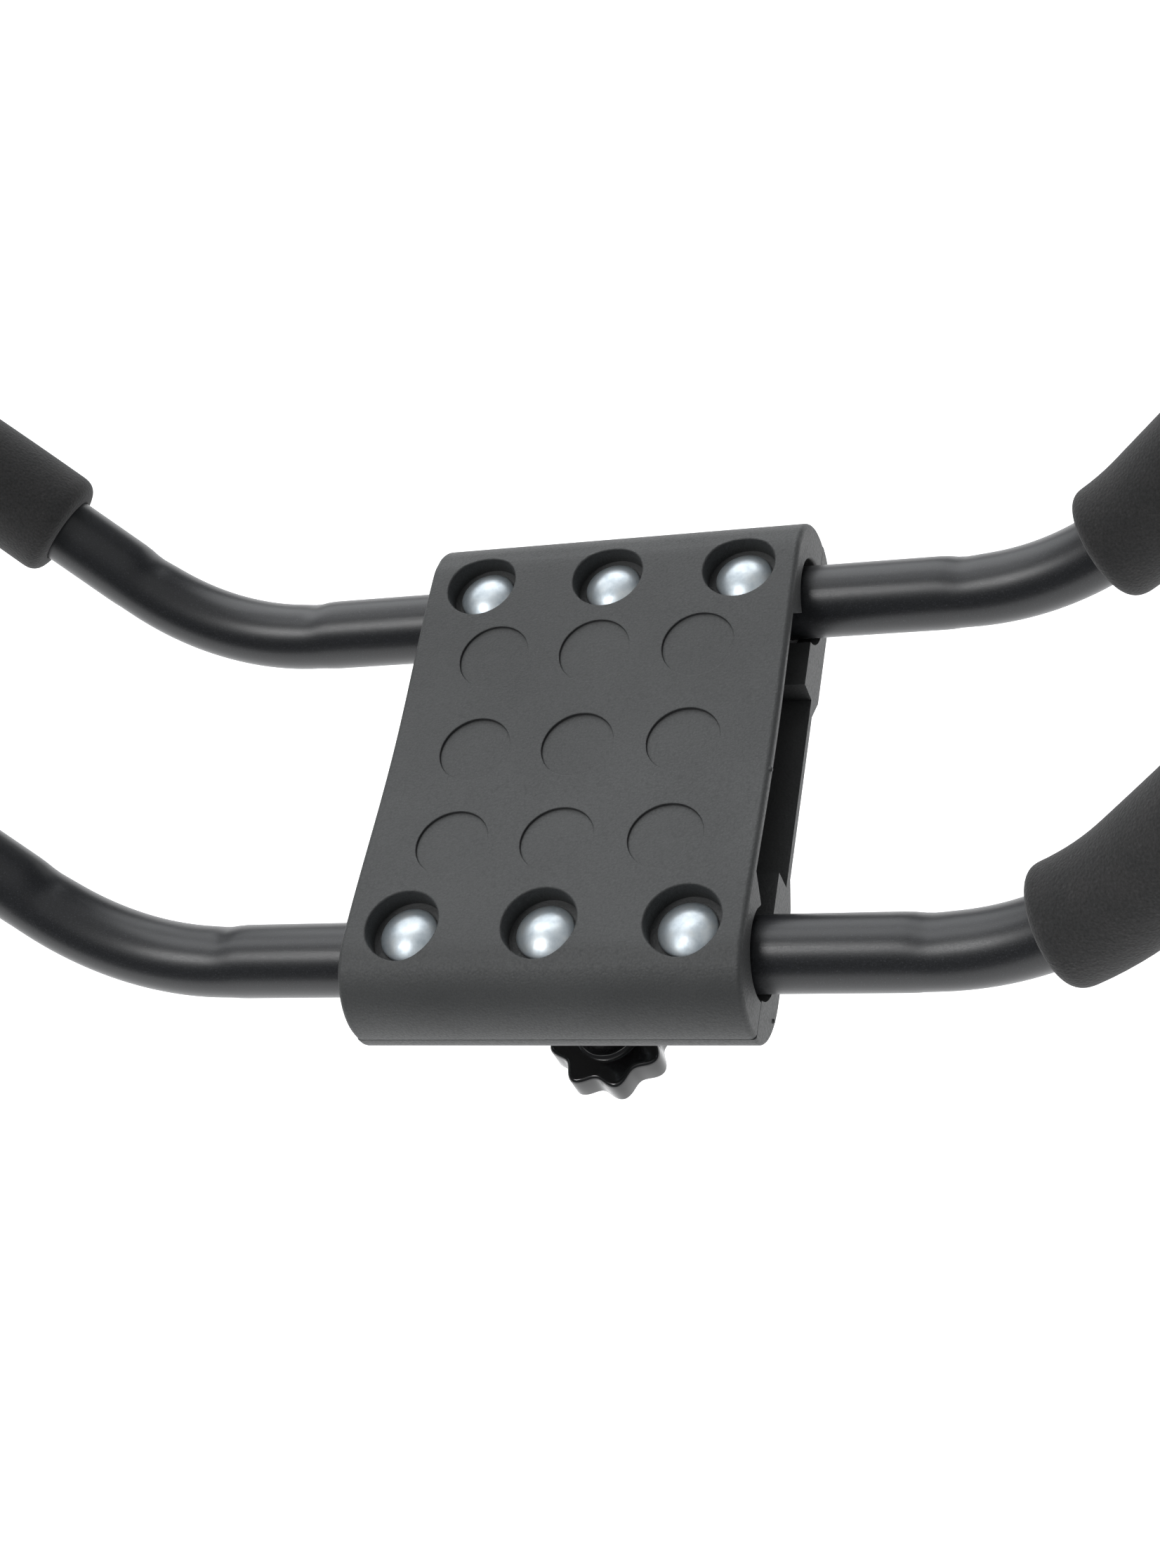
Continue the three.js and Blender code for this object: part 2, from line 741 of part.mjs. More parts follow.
add(
  "trim_strip",
  new THREE.BoxGeometry(2 * stripHalf, stripDepth, stripHeight),
  rubber,
  [0, trimY, trimZ + stripHeight / 2],
);

clampFrame.position.set(0, -trimY, -trimZ);
const pullUpBar = new THREE.Group();
pullUpBar.add(clampFrame);

export default pullUpBar;
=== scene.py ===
from math import acos, asin, atan, atan2, cos, dist, exp, hypot, pi, radians, sin, sqrt

import bmesh
import bpy
from mathutils import Matrix, Vector


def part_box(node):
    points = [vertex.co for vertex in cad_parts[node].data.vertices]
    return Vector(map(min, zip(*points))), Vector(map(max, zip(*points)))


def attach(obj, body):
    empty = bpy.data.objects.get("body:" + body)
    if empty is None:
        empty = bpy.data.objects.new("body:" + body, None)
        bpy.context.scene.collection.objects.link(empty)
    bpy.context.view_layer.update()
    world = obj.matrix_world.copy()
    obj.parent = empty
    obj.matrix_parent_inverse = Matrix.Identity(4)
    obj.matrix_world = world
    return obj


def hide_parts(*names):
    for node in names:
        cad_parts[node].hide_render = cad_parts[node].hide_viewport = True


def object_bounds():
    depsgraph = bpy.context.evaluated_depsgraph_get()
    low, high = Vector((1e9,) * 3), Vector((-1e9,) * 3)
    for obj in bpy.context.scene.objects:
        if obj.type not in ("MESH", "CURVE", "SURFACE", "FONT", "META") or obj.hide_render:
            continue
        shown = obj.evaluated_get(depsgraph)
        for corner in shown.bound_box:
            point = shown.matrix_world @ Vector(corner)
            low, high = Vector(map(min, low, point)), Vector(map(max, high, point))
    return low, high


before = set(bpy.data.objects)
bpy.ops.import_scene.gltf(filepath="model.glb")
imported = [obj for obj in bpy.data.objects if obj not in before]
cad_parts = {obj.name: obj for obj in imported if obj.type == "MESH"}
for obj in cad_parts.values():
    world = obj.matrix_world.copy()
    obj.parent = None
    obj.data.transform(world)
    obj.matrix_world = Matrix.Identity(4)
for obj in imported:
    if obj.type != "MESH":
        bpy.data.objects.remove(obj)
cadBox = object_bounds()
scene = bpy.context.scene

# Shapes are worked out in millimetres about the clamp: z is 0 at the middle of its dished top,
# x runs along the bars and +y points to the door. toRow takes them to the frame's metres.
coverLow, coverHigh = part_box("top_cover")
dishRise = 2.6
clampPlace = Vector((0, (coverLow.y + coverHigh.y) / 2, coverHigh.z - dishRise / 1000))
toRow = Matrix.Translation(clampPlace) @ Matrix.Scale(0.001, 4)
sides = {"left": -1, "right": 1}
rows = {"front": -1, "rear": 1}
print("Frame loaded")


def toLinear(code):
    # The sRGB curve, undone.
    channels = [int(code[i:i + 2], 16) / 255 for i in (1, 3, 5)]
    return [c / 12.92 if c <= 0.04045 else ((c + 0.055) / 1.055) ** 2.4 for c in channels] + [1]


def addNode(tree, kind, inputs=None, **settings):
    node = tree.nodes.new(kind)
    for name, value in settings.items():
        setattr(node, name, value)
    for name, value in (inputs or {}).items():
        if isinstance(value, bpy.types.NodeSocket):
            tree.links.new(value, node.inputs[name])
        else:
            node.inputs[name].default_value = value
    return node


def newMaterial(name, **surface):
    made = bpy.data.materials.new(name)
    made.use_nodes = True
    tree = made.node_tree
    shader = tree.nodes["Principled BSDF"]
    for socket, value in surface.items():
        shader.inputs[socket.replace("_", " ")].default_value = value
    place = addNode(tree, "ShaderNodeTexCoord").outputs["Object"]
    return made, tree, shader, place


def perMetre(millimetres):
    return 1000 / millimetres


def noise(tree, place, size, detail=2, roughness=0.5):
    inputs = {"Vector": place, "Scale": perMetre(size), "Detail": detail, "Roughness": roughness}
    return addNode(tree, "ShaderNodeTexNoise", inputs).outputs["Fac"]


def ramp(tree, value, stops, kind="LINEAR"):
    node = addNode(tree, "ShaderNodeValToRGB", {"Fac": value})
    node.color_ramp.interpolation = kind
    while len(node.color_ramp.elements) < len(stops):
        node.color_ramp.elements.new(0.5)
    for element, (position, colour) in zip(node.color_ramp.elements, stops):
        element.position = position
        element.color = colour
    return node.outputs["Color"]


def tones(*stops):
    return [(position, toLinear(code)) for position, code in stops]


def greys(*stops):
    return [(position, (level, level, level, 1)) for position, level in stops]


def bump(tree, height, millimetres, normal=None):
    inputs = {"Height": height, "Distance": millimetres / 1000, "Strength": 1}
    if normal:
        inputs["Normal"] = normal
    return addNode(tree, "ShaderNodeBump", inputs).outputs["Normal"]


def tinted(tree, colour, speck):
    # Inputs 6 and 7 and output 2 are the Mix node's colour sockets.
    return addNode(tree, "ShaderNodeMix", {"Factor": 1.0, 6: colour, 7: speck},
                   data_type="RGBA", blend_type="MULTIPLY").outputs[2]


def linkSurface(tree, shader, **sources):
    for socket, source in sources.items():
        tree.links.new(source, shader.inputs[socket.replace("_", " ")])


# Injection-moulded polypropylene with a spark-eroded grain: matt mid grey, finely pebbled,
# with the faint cloudiness that flow leaves in the skin.
def mouldedPlastic():
    grain = {"pebble": 0.85, "height": 0.075, "cloud": 38, "light": "#3e3f3f", "dark": "#373838"}
    made, tree, shader, place = newMaterial("grainedPolypropylene", IOR=1.49, Roughness=0.56)
    cells = addNode(tree, "ShaderNodeTexVoronoi", {
        "Vector": place, "Scale": perMetre(grain["pebble"]), "Smoothness": 0.6,
    }, feature="SMOOTH_F1").outputs["Distance"]
    fine = noise(tree, place, grain["pebble"] * 0.7, 3)
    height = addNode(tree, "ShaderNodeMath", {0: cells, 1: fine}, operation="SUBTRACT").outputs[0]
    cloud = noise(tree, place, grain["cloud"], 3)
    colour = ramp(tree, cloud, tones((0.3, grain["dark"]), (0.7, grain["light"])))
    speck = ramp(tree, fine, greys((0.3, 0.86), (0.7, 1.12)))
    linkSurface(tree, shader, Base_Color=tinted(tree, colour, speck),
                Roughness=ramp(tree, cells, greys((0.1, 0.5), (0.9, 0.64))),
                Normal=bump(tree, height, grain["height"]))
    return made


# Satin epoxy powder coat on steel tube: near black, a slow orange peel that softens the
# highlight and a fine grit that makes it sparkle grey.
def powderCoat():
    coat = {"peel": 3.2, "peelHeight": 0.012, "grit": 0.42, "gritHeight": 0.009}
    made, tree, shader, place = newMaterial("satinPowderCoat", IOR=1.52, Roughness=0.36)
    peel = noise(tree, place, coat["peel"], 1)
    grit = noise(tree, place, coat["grit"], 2)
    colour = ramp(tree, grit, tones((0.35, "#17181a"), (0.62, "#1f2023"), (0.74, "#37383c")))
    rough = ramp(tree, grit, greys((0.3, 0.3), (0.7, 0.4)))
    slow = bump(tree, peel, coat["peelHeight"])
    linkSurface(tree, shader, Base_Color=colour, Roughness=rough,
                Normal=bump(tree, grit, coat["gritHeight"], slow))
    return made


# Closed-cell nitrile foam, skinned by its mould: dull black with a fine porous grain and a
# slightly dusty bloom where it curves away.
def nitrileFoam():
    cellSize = {"pore": 1.05, "poreHeight": 0.16, "mottle": 9}
    made, tree, shader, place = newMaterial("nitrileFoam", IOR=1.4, Roughness=0.95,
                                            Sheen_Weight=0.12, Sheen_Roughness=0.6)
    pores = addNode(tree, "ShaderNodeTexVoronoi", {
        "Vector": place, "Scale": perMetre(cellSize["pore"]),
    }).outputs["Distance"]
    fine = noise(tree, place, cellSize["pore"] * 0.8, 3, 0.6)
    mottle = noise(tree, place, cellSize["mottle"], 2)
    colour = ramp(tree, mottle, tones((0.3, "#2a2a2a"), (0.7, "#2f2e2e")))
    speck = ramp(tree, fine, greys((0.3, 0.62), (0.66, 1.2), (0.78, 1.9)))
    colour = tinted(tree, colour, speck)
    height = addNode(tree, "ShaderNodeMath", {0: pores, 1: fine}, operation="ADD").outputs[0]
    linkSurface(tree, shader, Base_Color=colour,
                Normal=bump(tree, height, cellSize["poreHeight"]))
    return made


# Bright zinc plate over cold-headed steel: silver with a faint blue, cloudy where the
# passivation varies, with shallow scuffs from the heading die. The passivated film scatters a
# little light, so it isn't fully metallic.
def zincPlate():
    plate = {"cloud": 4.5, "scuff": 1.8, "scuffHeight": 0.03}
    made, tree, shader, place = newMaterial("zincPlate", Metallic=0.78, Roughness=0.34)
    cloud = noise(tree, place, plate["cloud"], 4, 0.6)
    scuff = noise(tree, place, plate["scuff"], 3)
    colour = ramp(tree, cloud, tones((0.25, "#a3adb4"), (0.5, "#bcc4c9"), (0.75, "#ced3d4")))
    linkSurface(tree, shader, Base_Color=colour,
                Roughness=ramp(tree, cloud, greys((0.3, 0.42), (0.7, 0.32))),
                Normal=bump(tree, scuff, plate["scuffHeight"]))
    return made


# Drawn steel tube left bare inside the bars: grey with long drawing lines and a mill bloom.
def drawnSteel():
    made, tree, shader, place = newMaterial("drawnSteel", Metallic=1.0, Roughness=0.42)
    lines = addNode(tree, "ShaderNodeMapping", {"Vector": place, "Scale": (0.04, 1, 1)})
    drawn = noise(tree, lines.outputs["Vector"], 0.6, 4)
    bloom = noise(tree, place, 12, 3)
    colour = ramp(tree, bloom, tones((0.3, "#6d7073"), (0.7, "#9a9c9d")))
    linkSurface(tree, shader, Base_Color=colour,
                Roughness=ramp(tree, drawn, greys((0.3, 0.34), (0.7, 0.5))),
                Normal=bump(tree, drawn, 0.01))
    return made


# Gloss phenolic moulding: deep black with a wet shine, slightly wavy from shrinkage.
def phenolic():
    made, tree, shader, place = newMaterial("blackPhenolic", IOR=1.6, Roughness=0.16)
    wave = noise(tree, place, 5, 2)
    haze = noise(tree, place, 1.6, 3)
    colour = ramp(tree, wave, tones((0.3, "#0c0c0d"), (0.7, "#121213")))
    linkSurface(tree, shader, Base_Color=colour,
                Roughness=ramp(tree, haze, greys((0.35, 0.12), (0.7, 0.24))),
                Normal=bump(tree, wave, 0.02))
    return made


# Moulded rubber: charcoal, chalky, with a soft uneven skin.
def mouldedRubber():
    made, tree, shader, place = newMaterial("mouldedRubber", IOR=1.45, Roughness=0.82)
    skin = noise(tree, place, 1.1, 4, 0.6)
    chalk = noise(tree, place, 22, 4)
    colour = ramp(tree, chalk, tones((0.3, "#1c1c1d"), (0.75, "#2a2a2a")))
    linkSurface(tree, shader, Base_Color=colour,
                Roughness=ramp(tree, skin, greys((0.3, 0.74), (0.7, 0.9))),
                Normal=bump(tree, skin, 0.05))
    return made


# Turned brass: warm yellow with fine circular tool marks and a little tarnish.
def turnedBrass():
    made, tree, shader, place = newMaterial("turnedBrass", Metallic=1.0, Roughness=0.3)
    tarnish = noise(tree, place, 6, 3)
    marks = noise(tree, place, 0.5, 2)
    colour = ramp(tree, tarnish, tones((0.3, "#9c7a3c"), (0.7, "#c9a45c")))
    linkSurface(tree, shader, Base_Color=colour,
                Roughness=ramp(tree, marks, greys((0.3, 0.24), (0.7, 0.4))))
    return made


coverFinish = mouldedPlastic()
tubeFinish = powderCoat()
foamFinish = nitrileFoam()
zincFinish = zincPlate()
steelFinish = drawnSteel()
knobFinish = phenolic()
rubberFinish = mouldedRubber()
brassFinish = turnedBrass()
plastic = ("frame", coverFinish, "cover_plastic")
coated = ("frame", tubeFinish, "powder_coat")
zinc = ("frame", zincFinish, "zinc_plate")
rubber = ("frame", rubberFinish, "rubber")
print("Finishes made")


# Mesh helpers, all in millimetres. Past is how far a cutter reaches beyond what it cuts, and
# slack is how far a vertex may lie from a face or rim and still count as on it.
weld = 0.0005
past = 5
holeSides = 32
slack = {"flat": 0.01, "skin": 0.02, "nose": 0.05, "rim": 0.06, "flare": 0.08, "dimple": 0.09,
         "dimpleHeight": 0.12}


def merged(bm):
    bmesh.ops.remove_doubles(bm, verts=bm.verts, dist=weld)
    bmesh.ops.recalc_face_normals(bm, faces=bm.faces)
    return bm


def joinInto(bm, *parts):
    for part in parts:
        mesh = bpy.data.meshes.new("part")
        part.to_mesh(mesh)
        part.free()
        bm.from_mesh(mesh)
        bpy.data.meshes.remove(mesh)
    return bm


shift = Matrix.Translation


def moved(bm, matrix):
    bmesh.ops.transform(bm, matrix=matrix, verts=bm.verts)
    if matrix.determinant() < 0:
        bmesh.ops.reverse_faces(bm, faces=bm.faces)
    return bm


def combined(bm, cutters, operation="DIFFERENCE"):
    # The cutters don't touch each other, so one Boolean takes them all.
    pair = []
    for part in (bm, joinInto(bmesh.new(), *cutters)):
        mesh = bpy.data.meshes.new("part")
        part.to_mesh(mesh)
        part.free()
        pair.append(bpy.data.objects.new("part", mesh))
        scene.collection.objects.link(pair[-1])
    cut = pair[0].modifiers.new("cut", "BOOLEAN")
    cut.object, cut.operation, cut.solver = pair[1], operation, "EXACT"
    shown = pair[0].evaluated_get(bpy.context.evaluated_depsgraph_get())
    made = bmesh.new()
    made.from_mesh(shown.to_mesh())
    shown.to_mesh_clear()
    for part in pair:
        mesh = part.data
        bpy.data.objects.remove(part)
        bpy.data.meshes.remove(mesh)
    bmesh.ops.remove_doubles(made, verts=made.verts, dist=weld)
    return made


def spun(profile, steps=48):
    # A turned shape about z from [radius, z] pairs that start and end on the axis or meet.
    bm = bmesh.new()
    points = [bm.verts.new((r, 0, z)) for r, z in profile]
    edges = [bm.edges.new(pair) for pair in zip(points, points[1:])]
    bmesh.ops.spin(bm, geom=points + edges, axis=(0, 0, 1), cent=(0, 0, 0), angle=2 * pi,
                   steps=steps, use_merge=True, use_duplicate=False)
    return merged(bm)


def pin(axis, radius, start, end, place, steps=48):
    # A plain round cutter from one place on an axis to another.
    bm = bmesh.new()
    turn = {"x": Matrix.Rotation(pi / 2, 4, "Y"), "y": Matrix.Rotation(pi / 2, 4, "X"),
            "z": Matrix()}[axis]
    middle = list(place)
    middle.insert("xyz".index(axis), (start + end) / 2)
    bmesh.ops.create_cone(bm, cap_ends=True, segments=steps, radius1=radius, radius2=radius,
                          depth=abs(end - start), matrix=shift(middle) @ turn)
    return merged(bm)


def block(low, high):
    bm = bmesh.new()
    size = [b - a for a, b in zip(low, high)]
    middle = [(a + b) / 2 for a, b in zip(low, high)]
    place = shift(middle) @ Matrix.Diagonal((*size, 1))
    bmesh.ops.create_cube(bm, size=1, matrix=place)
    return bm


def drawnOut(bm, faces, way):
    drawn = bmesh.ops.extrude_face_region(bm, geom=faces)
    far = [v for v in drawn["geom"] if isinstance(v, bmesh.types.BMVert)]
    bmesh.ops.translate(bm, verts=far, vec=way)
    return merged(bm)


def slab(outline, start, end):
    # An outline of (y, z) points, drawn out along x.
    bm = bmesh.new()
    face = bm.faces.new([bm.verts.new((start, y, z)) for y, z in outline])
    return drawnOut(bm, [face], (end - start, 0, 0))


def both(edge, test):
    return all(test(v.co) for v in edge.verts)


def sharp(edge, degrees=35):
    return edge.calc_face_angle(0) > radians(degrees)


def softened(bm, choose, width, segments):
    edges = [e for e in bm.edges if len(e.link_faces) == 2 and choose(e)]
    bmesh.ops.bevel(bm, geom=edges, offset=width, offset_type="OFFSET", segments=segments,
                    profile=0.5, affect="EDGES", clamp_overlap=False, material=-1)
    return bm


def arc(y, z, radius, start, end, steps, squash=1):
    angles = [start + (end - start) * i / steps for i in range(steps + 1)]
    return [(y + radius * cos(a), z + squash * radius * sin(a)) for a in angles]


def mirroredOutline(half):
    # Half an outline from y = 0 outwards, closed by its mirror image.
    clean = [half[0]]
    for point in half[1:]:
        if dist(point, clean[-1]) > 0.01:
            clean.append(point)
    return clean + [(-y, z) for y, z in reversed(clean) if y > 0.001]


def rings(bm, frames, radii, segments):
    loops = []
    for matrix, radius in zip(frames, radii):
        made = bmesh.ops.create_circle(bm, segments=segments, radius=radius, matrix=matrix)
        loops.append(made["verts"])
    return loops


def bridged(bm, loops):
    edgeSets = [{e for v in loop for e in v.link_edges} for loop in loops]
    for i, edges in enumerate(edgeSets):
        bmesh.ops.bridge_loops(bm, edges=list(edges | edgeSets[(i + 1) % len(edgeSets)]))
    return merged(bm)


def newPiece(name, bm, body, finish, slotName, *nodes, angle=35, weighted=False):
    merged(bm)
    moved(bm, toRow)
    mesh = bpy.data.meshes.new(name)
    bm.to_mesh(mesh)
    bm.free()
    mesh.shade_smooth()
    mesh.set_sharp_from_angle(angle=radians(angle))
    mesh.materials.append(finish)
    piece = bpy.data.objects.new(name, mesh)
    scene.collection.objects.link(piece)
    if weighted:
        even = piece.modifiers.new("even", "WEIGHTED_NORMAL")
        even.keep_sharp = True
    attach(piece, body)
    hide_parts(*nodes)
    return piece


def endName(which, side):
    return which + side.capitalize()


# Gull-wing bars: two bends in one tilted plane, slightly flattened where they were formed.
bar = {
    "radius": 12.7, "wall": 1.8, "rowOffset": 70.7, "drop": 20.5, "split": 5,
    "straightHalf": 123, "bendRadius": 97, "bend": radians(44), "tilt": radians(64),
    "gripRun": 228, "endRun": 45, "sides": 56, "step": 3,
    "flatten": 0.045, "widen": 0.015, "ease": 7,
    "dentDepth": (0.5, 0.9), "dentLength": 4.5, "dentSpread": 0.75, "dentLeast": 0.01,
    "endEdge": 0.4,
}
bendRun = bar["bendRadius"] * bar["bend"]
bends = [bar["straightHalf"], bar["straightHalf"] + bendRun + bar["gripRun"]]
barLength = bends[1] + bendRun + bar["endRun"]
boltHole = 4.4
boltPitch = 48.2


def clamp(value, low, high):
    return min(max(value, low), high)


def framed(place, along, inside):
    matrix = Matrix((inside, along.cross(inside), along)).transposed().to_4x4()
    matrix.translation = place
    return matrix


def barFrame(side, row, length):
    # A frame on the bar's axis: x towards the inside of the bends, z along the tube.
    radius, bend, tilt = bar["bendRadius"], bar["bend"], bar["tilt"]
    first = clamp(length - bends[0], 0, bendRun) / radius
    grip = clamp(length - bends[0] - bendRun, 0, bar["gripRun"])
    second = clamp(length - bends[1], 0, bendRun) / radius
    last = max(length - bends[1] - bendRun, 0)
    turn = bend - second
    out = (min(length, bends[0]) + radius * sin(first) + grip * cos(bend)
           + radius * (sin(bend) - sin(turn)) + last)
    lift = (radius * (1 - cos(first)) + grip * sin(bend)
            + radius * (cos(turn) - cos(bend)))
    place = Vector((side * out, row * bar["rowOffset"] + lift * cos(tilt),
                    -bar["drop"] + lift * sin(tilt)))
    angle = first - second
    rise = Vector((0, cos(tilt), sin(tilt)))
    along = Vector((side * cos(angle), 0, 0)) + rise * sin(angle)
    inside = Vector((-side * sin(angle), 0, 0)) + rise * cos(angle)
    return framed(place, along, inside)


def smoothStep(value):
    value = clamp(value, 0, 1)
    return value * value * (3 - 2 * value)


def bendShare(length):
    ease = bar["ease"]
    return sum(smoothStep((length - start + ease) / ease)
               * smoothStep((start + bendRun + ease - length) / ease) for start in bends)


def barStations(start, end):
    margin = 2 * bar["ease"]
    run = bendRun + 2 * margin
    count = int(run / bar["step"])
    marks = {start, end}
    for bend in bends:
        for i in range(count + 1):
            marks.add(bend - margin + run * i / count)
    return sorted(s for s in marks if start <= s <= end)


def dented(loops, stations, frames):
    # The former's edge leaves a shallow crease on the inside of each bend.
    for stationVerts, length, matrix in zip(loops, stations, frames):
        inside = matrix.col[0].xyz.normalized()
        centre = matrix.translation
        for place, depth in zip((bends[0], bends[0] + bendRun), bar["dentDepth"]):
            near = exp(-((length - place) / bar["dentLength"]) ** 2) * depth
            if near < bar["dentLeast"]:
                continue
            for vert in stationVerts:
                away = (vert.co - centre).normalized()
                angle = acos(clamp(away.dot(inside), -1, 1))
                share = exp(-(angle / bar["dentSpread"]) ** 2)
                vert.co -= away * near * share


def squeezed(share):
    return Matrix.Diagonal((1 - bar["flatten"] * share, 1 + bar["widen"] * share, 1, 1))


def tubeLoops(bm, frames, radii):
    bore = [bar["radius"] - bar["wall"]] * len(frames)
    return rings(bm, frames, radii, bar["sides"]), rings(bm, frames, bore, bar["sides"])


def makeBar(side, row):
    bm = bmesh.new()
    stations = barStations(bar["split"], barLength)
    frames = [barFrame(side, row, length) @ squeezed(bendShare(length)) for length in stations]
    outer, inner = tubeLoops(bm, frames, [bar["radius"]] * len(frames))
    dented(outer, stations, frames)
    dented(inner, stations, frames)
    bridged(bm, outer + inner[::-1])
    low = -bar["drop"] - bar["radius"] - past
    hole = pin("z", boltHole, low, past, (side * boltPitch, row * bar["rowOffset"]), holeSides)
    return combined(bm, [hole])


for rowName, row in rows.items():
    for sideName, side in sides.items():
        newPiece(endName(rowName + "Bar", sideName), makeBar(side, row), *coated,
                 f"{rowName}_bar_{sideName}")
print("Bars made")


# Foam grips: moulded sleeves pushed over the bars, a little uneven, with rolled ends.
grip = {
    "start": {"front_left": 240, "front_right": 161, "rear_left": 233, "rear_right": 172},
    "length": 180, "radius": 20.4, "bore": 13.0, "roll": 6.5, "endDrop": 6.6,
    "fullness": 0.8, "rollSteps": 12, "step": 4,
    "sides": 72, "swell": 0.22, "sag": 0.12, "longWave": 31, "shortWave": 13,
}


def makeGrip(side, row, start):
    # The end swells out towards the bore, fuller at its corner than an ellipse.
    roll, endDrop, length = grip["roll"], grip["endDrop"], grip["length"]
    profile = []
    for i in range(grip["rollSteps"] + 1):
        angle = pi / 2 * i / grip["rollSteps"]
        along, out = (f(angle) ** grip["fullness"] for f in (cos, sin))
        profile.append((roll * (1 - along), -endDrop * (1 - out)))
    count = int((length - 2 * roll) / grip["step"])
    body = [(roll + (length - 2 * roll) * i / count, 0) for i in range(1, count)]
    profile += body + [(length - at, drop) for at, drop in reversed(profile)]
    bm = bmesh.new()
    frames = [barFrame(side, row, start + at) for at, drop in profile]
    outer = rings(bm, frames, [grip["radius"] + drop for at, drop in profile], grip["sides"])
    for loop, (at, drop), matrix in zip(outer, profile, frames):
        for vert in loop:
            away = (vert.co - matrix.translation).normalized()
            turn = atan2(away.dot(matrix.col[1].xyz), away.dot(matrix.col[0].xyz))
            wave = (sin(at / grip["longWave"] + 2 * turn + start)
                    + 0.6 * sin(at / grip["shortWave"] - turn))
            vert.co += away * (grip["swell"] * wave * 0.6 - grip["sag"])
    inner = rings(bm, frames, [grip["bore"]] * len(frames), grip["sides"])
    return bridged(bm, outer + inner[::-1])


for rowName, row in rows.items():
    for sideName, side in sides.items():
        node = f"foam_grip_{rowName}_{sideName}"
        bm = makeGrip(side, row, grip["start"][f"{rowName}_{sideName}"])
        sleeve = newPiece(endName(rowName + "FoamGrip", sideName), bm, "frame", foamFinish,
                          "grip_foam", node)
print("Foam grips made")


# Clamp covers
cover = {
    "half": 69, "dishHalf": 75, "noseShift": 5.8, "noseRadius": 23, "seam": 24, "bottom": 43,
    "web": 3.2, "saddleGap": 0.3, "saddleWrap": radians(145), "webInset": 19,
    "blockInner": 38, "waist": 37, "waistHalf": 33, "waistSlope": 11, "ribPitch": 48,
    "rib": 2.5, "ribTop": 12, "endRound": 1.9, "lowerRound": 1.2, "flareRound": 1.1,
    "noseSteps": 22, "saddleSteps": 22,
    # lines along the dished top, kept away from where the round rims run beside them
    "dishLines": (0, 3.5, 7, 10.3, 15.1, 19.3, 23.5, 28.3, 33.3, 38.6, 43.9, 48.9, 53.6, 55.6,
                  60.4, 63.6, 66.8, 70.7, 73, 75),
    "noseTurns": (0, 5.4, 10.8, 24.2, 28.5, 33),
}
well = {"radius": 12.75, "drop": 5.5, "lip": 0.75, "above": 9, "below": -30, "sides": 72}
dimple = {"radius": 12.7, "depth": 1, "pitchX": 37.5, "pitchY": 38.6, "lip": 0.5, "above": 6}
flare = {"gap": 2.4, "depth": 8, "outside": 6, "sides": 64}
nib = {"radius": 1.1, "length": 1.3, "gate": (-13, -1.2), "under": (-85, -38.6)}
pocket = {"radius": 10.6, "depth": 7, "below": 6, "rim": 0.5}
noseY = bar["rowOffset"] + cover["noseShift"]
noseZ = dishRise - cover["noseRadius"]
saddleRadius = bar["radius"] + cover["saddleGap"]
boltPlaces = [(x, row * bar["rowOffset"]) for row in (-1, 1) for x in (-boltPitch, 0, boltPitch)]


def dishHeight(y):
    share = min(abs(y) / cover["dishHalf"], 1)
    return dishRise * (1 - cos(pi * share)) / 2


def onOuterSkin(co):
    y, z = abs(co.y), co.z
    if y <= cover["dishHalf"]:
        return abs(z - dishHeight(y)) < slack["skin"]
    onNose = abs(hypot(y - noseY, z - noseZ) - cover["noseRadius"]) < slack["nose"]
    return onNose or (y < noseY and abs(z - dishRise) < slack["skin"])


def atEnd(co):
    return abs(abs(co.x) - cover["half"]) < slack["flat"]


def aroundEnd(edge):
    return both(edge, atEnd) and abs(edge.verts[0].co.x - edge.verts[1].co.x) < 1


def onRims(places, radius, reach):
    def test(co):
        return any(abs(hypot(co.x - x, co.y - y) - radius) < reach for x, y in places)
    return test


def flareCutters():
    radius = bar["radius"] + flare["gap"]
    inner = cover["half"] - flare["depth"]
    outer = cover["half"] + flare["outside"]
    return [pin("x", radius, side * inner, side * outer,
                (row * bar["rowOffset"], -bar["drop"]), flare["sides"])
            for row in (-1, 1) for side in (-1, 1)]


def onFlareRim(co):
    radius = bar["radius"] + flare["gap"]
    near = hypot(abs(co.y) - bar["rowOffset"], co.z + bar["drop"])
    return atEnd(co) and abs(near - radius) < slack["flare"]


